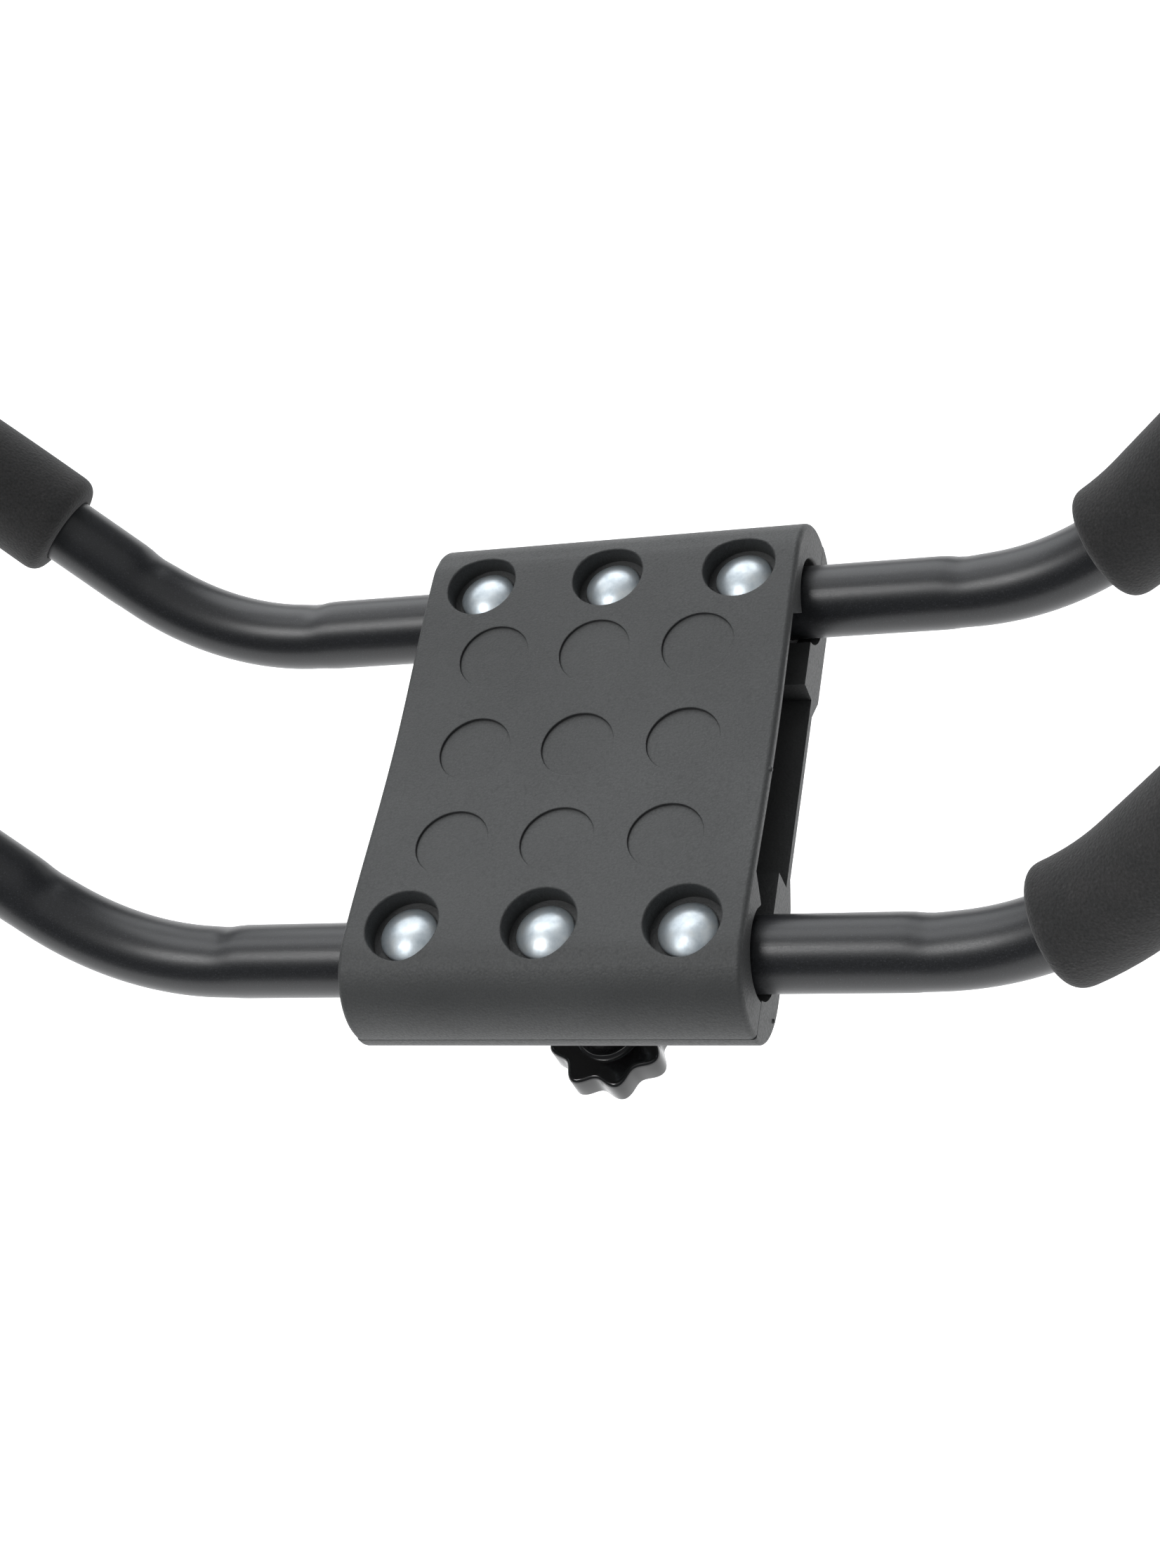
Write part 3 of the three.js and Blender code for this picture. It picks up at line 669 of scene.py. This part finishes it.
def makeTopCover():
    low = -asin((cover["seam"] + noseZ) / cover["noseRadius"])
    turned = pi / 2 - radians(cover["noseTurns"][-1])
    shoulder = [radians(90 - turn) for turn in cover["noseTurns"][:-1]]
    webStart = bar["rowOffset"] - cover["webInset"]
    webLines = [webStart] + [y for y in cover["dishLines"][::-1] if y < webStart - 1]
    half = [
        *[(y, dishHeight(y)) for y in cover["dishLines"]],
        *[(noseY + cover["noseRadius"] * cos(a), noseZ + cover["noseRadius"] * sin(a))
          for a in shoulder],
        *arc(noseY, noseZ, cover["noseRadius"], turned, low, cover["noseSteps"]),
        (bar["rowOffset"] + saddleRadius, -cover["seam"]),
        *arc(bar["rowOffset"], -bar["drop"], saddleRadius, 0, cover["saddleWrap"],
             cover["saddleSteps"]),
        *[(y, dishHeight(y) - cover["web"]) for y in webLines],
    ]
    bm = slab(mirroredOutline(half), -cover["half"], cover["half"])
    softened(bm, lambda e: aroundEnd(e) and both(e, onOuterSkin), cover["endRound"], 5)
    pins = []
    above, below = well["above"], well["below"]
    for x, y in boltPlaces:
        steps = [(0, above), (well["radius"], above), (well["radius"], -well["drop"]),
                 (boltHole, -well["drop"]), (boltHole, below), (0, below)]
        pins.append(moved(spun(steps, well["sides"]), shift((x, y, 0))))
    bm = combined(bm, pins)
    bm = combined(bm, dimpleCutters())
    bm = combined(bm, flareCutters())
    rim = onRims(boltPlaces, well["radius"], slack["rim"])
    lowest = dishRise - well["drop"]
    softened(bm, lambda e: sharp(e) and both(e, lambda co: rim(co) and co.z > lowest),
             well["lip"], 3)
    softened(bm, lambda e: sharp(e, 20) and both(e, onDimpleRim), dimple["lip"], 2)
    softened(bm, lambda e: sharp(e) and aroundEnd(e) and both(e, onFlareRim),
             cover["flareRound"], 3)
    return joinInto(bm, gateNib(nib["gate"]))


def gateNib(place):
    # What is left where the moulding was broken off its runner.
    bm = bmesh.new()
    turn = Matrix.Rotation(pi / 2, 4, "Y")
    bmesh.ops.create_cone(bm, cap_ends=True, segments=14, radius1=nib["radius"],
                          radius2=nib["radius"] * 0.6, depth=nib["length"],
                          matrix=shift((cover["half"], *place)) @ turn)
    return softened(bm, lambda e: sharp(e, 60), nib["radius"] * 0.25, 2)


def dimplePlaces():
    return [(i * dimple["pitchX"], j * dimple["pitchY"]) for i in (-1, 0, 1) for j in (-1, 0, 1)]


def onDimpleRim(co):
    near = onRims(dimplePlaces(), dimple["radius"], slack["dimple"])(co)
    return near and abs(co.z - dishHeight(co.y)) < slack["dimpleHeight"]


def dimpleCutters():
    # Flat-floored recesses, each square to the dished top at its middle.
    cutters = []
    for x, y in dimplePlaces():
        slope = atan((dishHeight(y + 1) - dishHeight(y - 1)) / 2)
        bm = pin("z", dimple["radius"], -dimple["depth"], dimple["above"], (0, 0), well["sides"])
        turn = shift((x, y, dishHeight(y))) @ Matrix.Rotation(slope, 4, "X")
        cutters.append(moved(bm, turn))
    return cutters


def makeBottomCover():
    top = -cover["seam"] - cover["saddleGap"]
    lip = asin((bar["drop"] + top) / saddleRadius)
    reach = sqrt(cover["noseRadius"] ** 2 - (cover["seam"] + noseZ) ** 2)
    depth = cover["bottom"] + top
    half = [
        (0, cover["web"] - cover["waist"]),
        (cover["blockInner"], cover["web"] - cover["waist"]),
        (cover["blockInner"], top),
        *arc(bar["rowOffset"], -bar["drop"], saddleRadius, pi - lip, 2 * pi + lip,
             cover["saddleSteps"]),
        *arc(noseY, top, reach, 0, -pi / 2, cover["noseSteps"], depth / reach),
        (cover["waistHalf"] + cover["waistSlope"], -cover["bottom"]),
        (cover["waistHalf"], -cover["waist"]),
        (0, -cover["waist"]),
    ]
    bm = slab(mirroredOutline(half), -cover["half"], cover["half"])

    def onUnderSkin(co):
        nose = hypot(abs(co.y) - noseY, (co.z - top) * reach / depth)
        onNose = abs(nose - reach) < slack["nose"] and abs(co.y) >= noseY - slack["flat"]
        return onNose or abs(co.z + cover["bottom"]) < slack["flat"]

    softened(bm, lambda e: aroundEnd(e) and both(e, onUnderSkin), cover["lowerRound"], 4)
    ribs = []
    for x in (-cover["ribPitch"] / 2, cover["ribPitch"] / 2):
        ribs.append(block((x - cover["rib"] / 2, -cover["blockInner"] - 1, 1 - cover["waist"]),
                          (x + cover["rib"] / 2, cover["blockInner"] + 1, -cover["ribTop"])))
    bm = combined(bm, ribs, "UNION")
    cutters = []
    roof, below = pocket["depth"] - cover["bottom"], -cover["bottom"] - pocket["below"]
    for x, y in boltPlaces:
        steps = [(0, 0), (boltHole, 0), (boltHole, roof), (pocket["radius"], roof),
                 (pocket["radius"], below), (0, below)]
        if x == 0 and y < 0:  # the knob's bolt has no nut
            steps = [(0, 0), (boltHole, 0), (boltHole, below), (0, below)]
        cutters.append(moved(spun(steps, 48), shift((x, y, 0))))
    bm = combined(bm, cutters)
    bm = combined(bm, flareCutters())
    rim = onRims(boltPlaces, pocket["radius"], slack["rim"])
    highest = pocket["rim"] * 2 - cover["bottom"]
    softened(bm, lambda e: sharp(e) and both(e, lambda co: rim(co) and co.z < highest),
             pocket["rim"], 2)
    return joinInto(bm, gateNib(nib["under"]))


newPiece("topCover", makeTopCover(), *plastic, "top_cover", weighted=True)
newPiece("bottomCover", makeBottomCover(), *plastic, "bottom_cover", weighted=True)
print("Clamp covers made")


# Fasteners: cold-headed carriage bolts, chamfered hex nuts and socket button screws.
bolt = {"radius": 4, "head": 10, "height": 4.4, "edge": 1.1, "corner": 0.35, "tail": 1.8,
        "pitch": 1.25, "thread": 0.55, "domeSteps": 14, "play": 0.3, "threaded": 14,
        "longThreaded": 30}
nut = {"flats": 13, "height": 7.2, "chamfer": 0.9, "mouth": 5.3, "mouthDepth": 0.9}
knob = {
    "hubTop": 8.6, "hubBase": 9.8, "hubHeight": 27, "rimHeight": 11, "radius": 19.9, "lobe": 1.9,
    "lobes": 8, "turn": radians(-74), "round": 1.5, "roundSteps": 5, "segments": 192,
    "insert": 6.4, "insertLength": 18, "boltReach": 28, "underDish": 1.6,
    "fillet": 2.5, "filletSteps": 6, "play": 0.3,
}
screw = {"head": 7, "height": 4.4, "socket": 2.9, "socketDepth": 2.4, "reach": 16,
         "flatShare": 0.62, "rim": 0.9, "domeSteps": 8}
washer = {"radius": 9.5, "height": 1.6, "edge": 0.25}
knobTop = -cover["bottom"] - washer["height"] - 2 * bolt["play"]
nutTop = pocket["depth"] - cover["bottom"] - bolt["play"]


def threadedShank(length, threaded):
    # Rings a thread's pitch apart stand for the rolled thread.
    radius, pitch, depth = bolt["radius"], bolt["pitch"], bolt["thread"]
    points = [(0, -length), (radius - depth, -length)]
    z = -length + 0.3
    while z + pitch < threaded - length:
        points += [(radius, z + pitch * 0.4), (radius, z + pitch * 0.55),
                   (radius - depth, z + pitch)]
        z += pitch
    return points + [(radius, z + 1), (radius, 0)]


def makeBolt(length, threaded):
    profile = threadedShank(length, threaded) + [(bolt["head"] - 0.25, 0), (bolt["head"], 0.25)]
    rise, reach = bolt["height"] - bolt["edge"], bolt["head"] - bolt["corner"]
    ball = (reach ** 2 + rise ** 2) / (2 * rise)
    steepest = asin(reach / ball)
    profile.append((bolt["head"], bolt["edge"] - bolt["corner"]))
    for i in range(bolt["domeSteps"] + 1):
        angle = steepest * (1 - i / bolt["domeSteps"])
        profile.append((ball * sin(angle), bolt["height"] - ball * (1 - cos(angle))))
    profile[-1] = (0, bolt["height"])
    return spun(profile, 56)


def hexPrism(across, low, high):
    bm = bmesh.new()
    bmesh.ops.create_cone(bm, cap_ends=True, segments=6, radius1=across, radius2=across,
                          depth=high - low, matrix=shift((0, 0, (low + high) / 2)))
    return bm


def makeNut():
    corner = nut["flats"] / 2 / cos(pi / 6)
    height, chamfer = nut["height"], nut["chamfer"]
    rim = corner - chamfer
    turned = spun([(0, 0), (rim, 0), (corner + 0.02, chamfer * 0.6),
                   (corner + 0.02, height - chamfer * 0.6), (rim, height), (0, height)], 48)
    bm = combined(hexPrism(corner, -1, height + 1), [turned], "INTERSECT")
    mouth, depth = nut["mouth"], nut["mouthDepth"]
    hole = spun([(0, -1), (mouth, -1), (boltHole, depth), (boltHole, height - depth),
                 (mouth, height + 1), (0, height + 1)], holeSides)
    return combined(bm, [hole])


def makeScrew(length):
    head, height = screw["head"], screw["height"]
    profile = threadedShank(length, screw["reach"]) + [(head - 0.3, 0), (head, 0.3)]
    flat, rim = screw["flatShare"] * head, screw["rim"]
    for i in range(screw["domeSteps"] + 1):
        angle = pi / 2 * i / screw["domeSteps"]
        profile.append((flat + (head - flat) * cos(angle),
                        rim + (height - rim) * sin(angle)))
    bm = spun(profile + [(0, height)], 48)
    return combined(bm, [hexPrism(screw["socket"], height - screw["socketDepth"], height + 2)])


for rowName, row in rows.items():
    for place, x in {"left": -boltPitch, "middle": 0, "right": boltPitch}.items():
        held = rowName == "front" and place == "middle"
        under = bolt["play"] - well["drop"]
        end = knobTop - knob["boltReach"] if held else nutTop - nut["height"] - bolt["tail"]
        spot = shift((x, row * bar["rowOffset"], under))
        threaded = bolt["longThreaded"] if held else bolt["threaded"]
        bm = moved(makeBolt(under - end, threaded), spot)
        newPiece(endName(rowName + "Bolt", place), bm, *zinc,
                 f"clamp_bolt_{rowName}_{place}", angle=50)
        if not held:
            spot = shift((x, row * bar["rowOffset"], nutTop - nut["height"]))
            newPiece(endName(rowName + "Nut", place), moved(makeNut(), spot), *zinc,
                     f"clamp_nut_{rowName}_{place}", angle=25)
print("Bolts and nuts made")


# Washer and star knob

def makeWasher():
    r, h, e = washer["radius"], washer["height"], washer["edge"]
    return spun([(boltHole, 0), (r - e, 0), (r, e), (r, h - e), (r - e, h), (boltHole, h),
                 (boltHole, 0)], 64)


def makeKnob():
    low = -knob["hubHeight"] - knob["rimHeight"]
    bm = bmesh.new()
    rim = bmesh.ops.create_circle(bm, cap_ends=True, segments=knob["segments"], radius=1,
                                  matrix=shift((0, 0, low)))
    for vert in rim["verts"]:
        angle = atan2(vert.co.y, vert.co.x)
        radius = knob["radius"] + knob["lobe"] * cos(knob["lobes"] * (angle - knob["turn"]))
        vert.co.x, vert.co.y = radius * cos(angle), radius * sin(angle)
    drawnOut(bm, list(bm.faces), (0, 0, knob["rimHeight"]))
    softened(bm, lambda e: sharp(e, 60), knob["round"], knob["roundSteps"])
    top = low + knob["rimHeight"]
    fillet = knob["fillet"]
    foot = knob["hubBase"] + fillet
    hub = [(0, top - 2), (foot, top - 2), (foot, top - 0.01)]
    for i in range(1, knob["filletSteps"] + 1):
        angle = pi / 2 * i / knob["filletSteps"]
        hub.append((foot - fillet * sin(angle), top + fillet * (1 - cos(angle))))
    hub += [(knob["hubTop"], -1), (knob["hubTop"] - 0.3, -0.3), (knob["hubTop"] - 1, 0), (0, 0)]
    bm = combined(bm, [spun(hub, 64)], "UNION")
    under = knob["underDish"]
    dish = spun([(0, low + under), (10, low + under), (13.5, low + under * 0.7), (15, low - 0.3),
                 (15.5, low - 4), (0, low - 4)], 64)
    wide, seat = knob["insert"] + knob["play"], -knob["insertLength"] - knob["play"]
    end = -knob["boltReach"] - 2
    bore = spun([(0, past), (wide, past), (wide, seat), (boltHole, seat), (boltHole, end),
                 (0, end)], 48)
    return combined(bm, [dish, bore])


washerLow = -cover["bottom"] - bolt["play"] - washer["height"]
spot = shift((0, -bar["rowOffset"], washerLow))
newPiece("knobWasher", moved(makeWasher(), spot), "washer", zincFinish, "zinc_plate",
         "knob_washer")
spot = shift((0, -bar["rowOffset"], knobTop))
newPiece("starKnob", moved(makeKnob(), spot), "knob", knobFinish, "knob_plastic", "star_knob",
         angle=40)
print("Knob made")


# Side brackets, door bar and casing pads
bracket = {"thickness": 4, "radius": 19, "doorY": 205, "doorZ": 238, "window": 0.3,
           "windowRadius": 6, "edge": 0.7}
gap = 0.3
barEnd = {name: barFrame(1, row, barLength).translation for name, row in rows.items()}
endX = barEnd["rear"].x
doorAxis = (bracket["doorY"], bracket["doorZ"])
barEnd["door"] = Vector((endX, *doorAxis))


def roundedTriangle(corners, radius, steps=18):
    points = []
    for i, (y, z) in enumerate(corners):
        py, pz = corners[i - 1]
        ny, nz = corners[(i + 1) % 3]
        start = atan2(z - pz, y - py) - pi / 2
        end = atan2(nz - z, ny - y) - pi / 2
        while end < start:
            end += 2 * pi
        points += arc(y, z, radius, start, end, steps)
    return points


def makeBracket(side):
    corners = [(p.y, p.z) for p in (barEnd["front"], barEnd["rear"], barEnd["door"])]
    inner = endX + gap
    outer = inner + bracket["thickness"]
    middle = [sum(c[k] for c in corners) / 3 for k in (0, 1)]
    small = [[m + (v - m) * bracket["window"] for m, v in zip(middle, c)] for c in corners]
    bm = slab(roundedTriangle(corners, bracket["radius"]), inner, outer)
    cutters = [slab(roundedTriangle(small, bracket["windowRadius"]), inner - past, outer + past)]
    cutters += [pin("x", boltHole, inner - past, outer + past, corner, holeSides)
                for corner in corners]
    bm = combined(bm, cutters)

    def onFace(co):
        return min(abs(co.x - inner), abs(co.x - outer)) < slack["flat"]

    softened(bm, lambda e: sharp(e, 60) and both(e, onFace), bracket["edge"], 3)
    return moved(bm, Matrix.Diagonal((side, 1, 1, 1)))


def straightTube(start, end, y, z, holes):
    # The tube with its cut ends chamfered.
    edge, radius = bar["endEdge"], bar["radius"]
    places = [start, start + edge, end - edge, end]
    frames = [framed(Vector((x, y, z)), Vector((1, 0, 0)), Vector((0, 1, 0))) for x in places]
    bm = bmesh.new()
    outer, inner = tubeLoops(bm, frames, [radius - edge, radius, radius, radius - edge])
    return combined(bridged(bm, outer + inner[::-1]), holes)


pad = {"endGap": 11.8, "length": 155, "back": 21, "face": 22, "corner": 6, "bore": 13.0,
       "endRound": 2.5, "groove": 1.6, "grooveDepth": 1.1, "groovePitch": 11}
padStart = endX - pad["endGap"] - pad["length"]


def makePad(side):
    # A D-shaped sleeve: half round at the back, a grooved flat against the casing.
    back, face, corner = pad["back"], pad["face"], pad["corner"]
    outline = [
        *arc(0, 0, back, pi / 2, 1.5 * pi, 40),
        *arc(face - corner, corner - back, corner, -pi / 2, 0, 10),
        *arc(face - corner, back - corner, corner, 0, pi / 2, 10),
    ]
    start, end = padStart, padStart + pad["length"]
    bm = slab([(y + doorAxis[0], z + doorAxis[1]) for y, z in outline], start, end)
    softened(bm, lambda e: sharp(e, 60), pad["endRound"], 5)
    bm = combined(bm, [pin("x", pad["bore"], start - past, end + past, doorAxis, 56)])
    grooves, front = [], doorAxis[0] + face
    x = start + pad["groovePitch"]
    while x < end - pad["groovePitch"] * 0.6:
        grooves.append(block((x, front - pad["grooveDepth"], doorAxis[1] - back - past),
                             (x + pad["groove"], front + past, doorAxis[1] + back + past)))
        x += pad["groovePitch"]
    return moved(combined(bm, grooves), Matrix.Diagonal((side, 1, 1, 1)))


def endScrew(side, which):
    place = barEnd[which]
    seat = endX + gap + bracket["thickness"] + gap
    length = gap + bracket["thickness"] + gap + 0.5 + screw["reach"]
    turn = Matrix.Rotation(side * pi / 2, 4, "Y")
    return moved(makeScrew(length), shift((side * seat, place.y, place.z)) @ turn)


arm = {"x": 240, "bend": 50, "top": 55, "plugFrom": 16, "step": 3.5, "cap": 3, "capReach": 14,
       "capEdge": 0.5, "capSteps": 8, "mouthAt": 30, "margin": 6, "lead": 5, "ease": 12}
hook = {"wallPack": 150, "trimAbove": 150, "play": 2, "angleHeight": 44, "angleDepth": 28,
        "thickness": 3, "half": 280, "boltRise": 26, "edge": 0.6, "fillet": 3}
strip = {"height": 4, "depth": 24, "half": 272, "groove": 1.4, "grooveDepth": 0.8,
         "groovePitch": 3.08, "grooves": 7, "edge": 0.8}
trimZ = bracket["doorZ"] + hook["trimAbove"]
hookY = bracket["doorY"] + pad["face"] + hook["wallPack"] + hook["play"]
armY = hookY + hook["thickness"] + gap + bar["radius"]
trimY = hookY - hook["play"] - strip["depth"] / 2
hookZ = trimZ + hook["boltRise"]

doorHoles = [pin("y", boltHole, bracket["doorY"] - 20, bracket["doorY"] + 20,
                 (side * arm["x"], bracket["doorZ"]), holeSides) for side in (-1, 1)]
newPiece("doorBar", straightTube(-endX, endX, *doorAxis, doorHoles), *coated, "door_bar")
for sideName, side in sides.items():
    newPiece(endName("sideBracket", sideName), makeBracket(side), *coated,
             f"side_bracket_{sideName}", weighted=True)
    newPiece(endName("casingPad", sideName), makePad(side), *rubber, f"casing_pad_{sideName}")
    for which in barEnd:
        newPiece(endName(which + "EndScrew", sideName), endScrew(side, which), *zinc,
                 f"{which}_end_screw_{sideName}", angle=50)
print("Brackets, door bar and pads made")


# Hook arms, caps, hook angle and rubber strip
armRise = trimZ + arm["top"] - bracket["doorZ"]
armRun = armY - bracket["doorY"]
armQuarter = arm["bend"] * pi / 2
armLength = armRun + armRise - 2 * arm["bend"] + armQuarter


def armFrame(side, length):
    turn = clamp(length - (armRun - arm["bend"]), 0, armQuarter) / arm["bend"]
    up = max(length - (armRun - arm["bend"]) - armQuarter, 0)
    y = min(length, armRun - arm["bend"]) + arm["bend"] * sin(turn)
    z = arm["bend"] * (1 - cos(turn)) + up
    place = Vector((side * arm["x"], bracket["doorY"] + y, bracket["doorZ"] + z))
    along = Vector((0, cos(turn), sin(turn)))
    inside = Vector((0, -sin(turn), cos(turn)))
    return framed(place, along, inside)


def makeArm(side):
    bendStart = armRun - arm["bend"]
    count = int(armQuarter / arm["step"])
    stations = [0, arm["mouthAt"], bendStart - arm["margin"]]
    stations += [bendStart + armQuarter * i / count for i in range(count + 1)]
    stations += [bendStart + armQuarter + arm["margin"], armLength]
    frames = []
    for length in stations:
        entered = smoothStep((length - bendStart + arm["lead"]) / arm["ease"])
        left = smoothStep((bendStart + armQuarter + arm["lead"] - length) / arm["ease"])
        frames.append(armFrame(side, length) @ squeezed(entered * left))
    bm = bmesh.new()
    outer, inner = tubeLoops(bm, frames, [bar["radius"]] * len(frames))
    bridged(bm, outer + inner[::-1])
    x, wide = side * arm["x"], arm["mouthAt"]
    # The mouth is coped round the door bar.
    mouth = pin("x", bar["radius"] + gap, x - wide, x + wide, doorAxis, 64)
    bm = combined(bm, [mouth])
    beyond = armY + bar["radius"] + past
    return combined(bm, [pin("y", boltHole, hookY - past, beyond, (x, hookZ), holeSides)])


def makeCap():
    inside = (bar["radius"] - bar["wall"]) * cos(pi / 12) - gap
    radius, lip, reach = bar["radius"], arm["cap"], arm["capReach"]
    edge, steps = arm["capEdge"], arm["capSteps"]
    profile = [(0, -reach), (inside - 0.8, -reach), (inside, 1 - reach), (inside, -0.01),
               (radius, 0), (radius, edge)]
    for i in range(1, steps + 1):
        angle = pi / 2 * i / steps
        profile.append((radius * cos(angle), edge + (lip - edge) * sin(angle)))
    profile[-1] = (0, lip)
    return spun(profile, 56)


angleLow = trimZ + strip["height"] + gap


def makeAngle():
    back, low, t, r = hookY + hook["thickness"], angleLow, hook["thickness"], hook["fillet"]
    outline = [
        (back, low + hook["angleHeight"]), (hookY, low + hook["angleHeight"]),
        *arc(hookY - r, low + t + r, r, 0, -pi / 2, 6),
        (back - hook["angleDepth"], low + t), (back - hook["angleDepth"], low),
        *arc(back - r, low + r, r, -pi / 2, 0, 6),
    ]
    bm = slab(outline, -hook["half"], hook["half"])
    softened(bm, lambda e: sharp(e, 60), hook["edge"], 2)
    holes = [pin("y", boltHole, hookY - past, back + past, (side * arm["x"], hookZ), holeSides)
             for side in (-1, 1)]
    return combined(bm, holes)


def makeStrip():
    low, high = trimZ, trimZ + strip["height"]
    left, right = trimY - strip["depth"] / 2, trimY + strip["depth"] / 2
    bm = slab([(left, low), (right, low), (right, high), (left, high)], -strip["half"],
              strip["half"])
    softened(bm, lambda e: both(e, lambda co: co.z > high - slack["flat"]), strip["edge"], 3)
    grooves, reach, width = [], strip["half"] + past, strip["groove"] / 2
    for i in range(strip["grooves"]):
        y = trimY + (i - (strip["grooves"] - 1) / 2) * strip["groovePitch"]
        grooves.append(block((-reach, y - width, low - past),
                             (reach, y + width, low + strip["grooveDepth"])))
    return combined(bm, grooves)


for sideName, side in sides.items():
    newPiece(endName("hookArm", sideName), makeArm(side), *coated, f"hook_arm_{sideName}")
    spot = shift((side * arm["x"], armY, trimZ + arm["top"] + gap))
    newPiece(endName("armCap", sideName), moved(makeCap(), spot), "frame", knobFinish,
             "knob_plastic", f"arm_cap_{sideName}", angle=50)
    turn = Matrix.Rotation(pi / 2, 4, "X")
    seat = bar["radius"] + gap
    spot = shift((side * arm["x"], bracket["doorY"] - seat, bracket["doorZ"])) @ turn
    bm = makeScrew(seat + arm["plugFrom"] + screw["reach"])
    newPiece(endName("armScrew", sideName), moved(bm, spot), *zinc, f"arm_screw_{sideName}",
             angle=50)
    nutY = armY + bar["radius"] + gap
    length = nutY + nut["height"] + bolt["tail"] - (hookY - gap)
    spot = shift((side * arm["x"], hookY - gap, hookZ)) @ turn
    newPiece(endName("hookScrew", sideName), moved(makeScrew(length), spot), *zinc,
             f"hook_screw_{sideName}", angle=50)
    spot = shift((side * arm["x"], nutY + nut["height"], hookZ)) @ turn
    newPiece(endName("hookNut", sideName), moved(makeNut(), spot), *zinc,
             f"hook_nut_{sideName}", angle=25)
newPiece("hookAngle", makeAngle(), *coated, "hook_angle")
newPiece("trimStrip", makeStrip(), *rubber, "trim_strip")
print("Hook made")

# What stays as modelled in CAD: parts inside the tubes and the knob.
for name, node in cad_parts.items():
    if not node.hide_render:
        brass = name == "knob_insert"
        node.data.materials.clear()
        node.data.materials.append(brassFinish if brass else steelFinish)
print("Inner parts finished")


# Floor, light and camera
studio = {"floorDrop": 0.75, "floorSize": 30, "floorGlow": 0.68, "ambient": 0.2}
lights = {
    # direction it comes from, apparent width in degrees, brightness of the panel
    "overhead": {"from": (-0.35, -0.24, 0.91), "width": 22, "level": 9.0, "colour": "#ffffff"},
    "backPanel": {"from": (-0.3, 0.72, 0.62), "width": 62, "level": 2.5, "colour": "#fbfdff"},
    "ceiling": {"from": (-0.1, 0.1, 1.0), "width": 92, "level": 0.42, "colour": "#ffffff"},
}


def makeFloor():
    # A pale sweep that glows a little, so that it stays even out to its edges.
    made, tree, shader, place = newMaterial("paleSweep", Roughness=0.9,
                                            Emission_Color=(1, 1, 1, 1),
                                            Emission_Strength=studio["floorGlow"])
    drift = noise(tree, place, 900, 2)
    linkSurface(tree, shader, Base_Color=ramp(tree, drift, greys((0.3, 0.8), (0.7, 0.83))))
    bm = bmesh.new()
    low = cadBox[0].z - studio["floorDrop"]
    bmesh.ops.create_grid(bm, x_segments=2, y_segments=2, size=studio["floorSize"] / 2,
                          matrix=shift((0, 0, low)))
    mesh = bpy.data.meshes.new("floor")
    bm.to_mesh(mesh)
    bm.free()
    mesh.materials.append(made)
    floor = bpy.data.objects.new("floor", mesh)
    scene.collection.objects.link(floor)


def makeWorld():
    world = bpy.data.worlds.new("studio")
    scene.world = world
    world.use_nodes = True
    tree = world.node_tree
    tree.nodes.clear()
    soft = addNode(tree, "ShaderNodeBackground",
                   {"Color": toLinear("#eef3f8"), "Strength": studio["ambient"]})
    seen = addNode(tree, "ShaderNodeBackground", {"Color": (1, 1, 1, 1), "Strength": 1.0})
    rays = addNode(tree, "ShaderNodeLightPath")
    mixed = addNode(tree, "ShaderNodeMixShader", {
        0: rays.outputs["Is Camera Ray"], 1: soft.outputs[0], 2: seen.outputs[0]})
    addNode(tree, "ShaderNodeOutputWorld", {"Surface": mixed.outputs[0]})


def makeLights():
    for name, spec in lights.items():
        data = bpy.data.lights.new(name, "SUN")
        width = radians(spec["width"])
        data.angle = width
        data.energy = spec["level"] * pi * sin(width / 2) ** 2
        data.color = toLinear(spec["colour"])[:3]
        lamp = bpy.data.objects.new(name, data)
        scene.collection.objects.link(lamp)
        lamp.rotation_mode = "QUATERNION"
        lamp.rotation_quaternion = Vector(spec["from"]).to_track_quat("Z", "Y")


camera = {
    "eye": (0.26875, -0.41955, 0.58625), "right": (0.93637, 0.16253, -0.31112),
    "up": (0.03971, 0.83159, 0.55396), "lens": 52.41,
}


def makeCamera():
    data = bpy.data.cameras.new("camera")
    data.lens, data.sensor_width, data.clip_start = camera["lens"], 36, 0.01
    eyePiece = bpy.data.objects.new("camera", data)
    scene.collection.objects.link(eyePiece)
    right, up = Vector(camera["right"]), Vector(camera["up"])
    turn = Matrix((right, up, right.cross(up))).transposed().to_4x4()
    turn.translation = clampPlace + Vector(camera["eye"])
    eyePiece.matrix_world = turn
    bpy.context.scene.camera = eyePiece


makeFloor()
makeWorld()
makeLights()
makeCamera()
scene.view_settings.view_transform = "Standard"
print("Studio set")
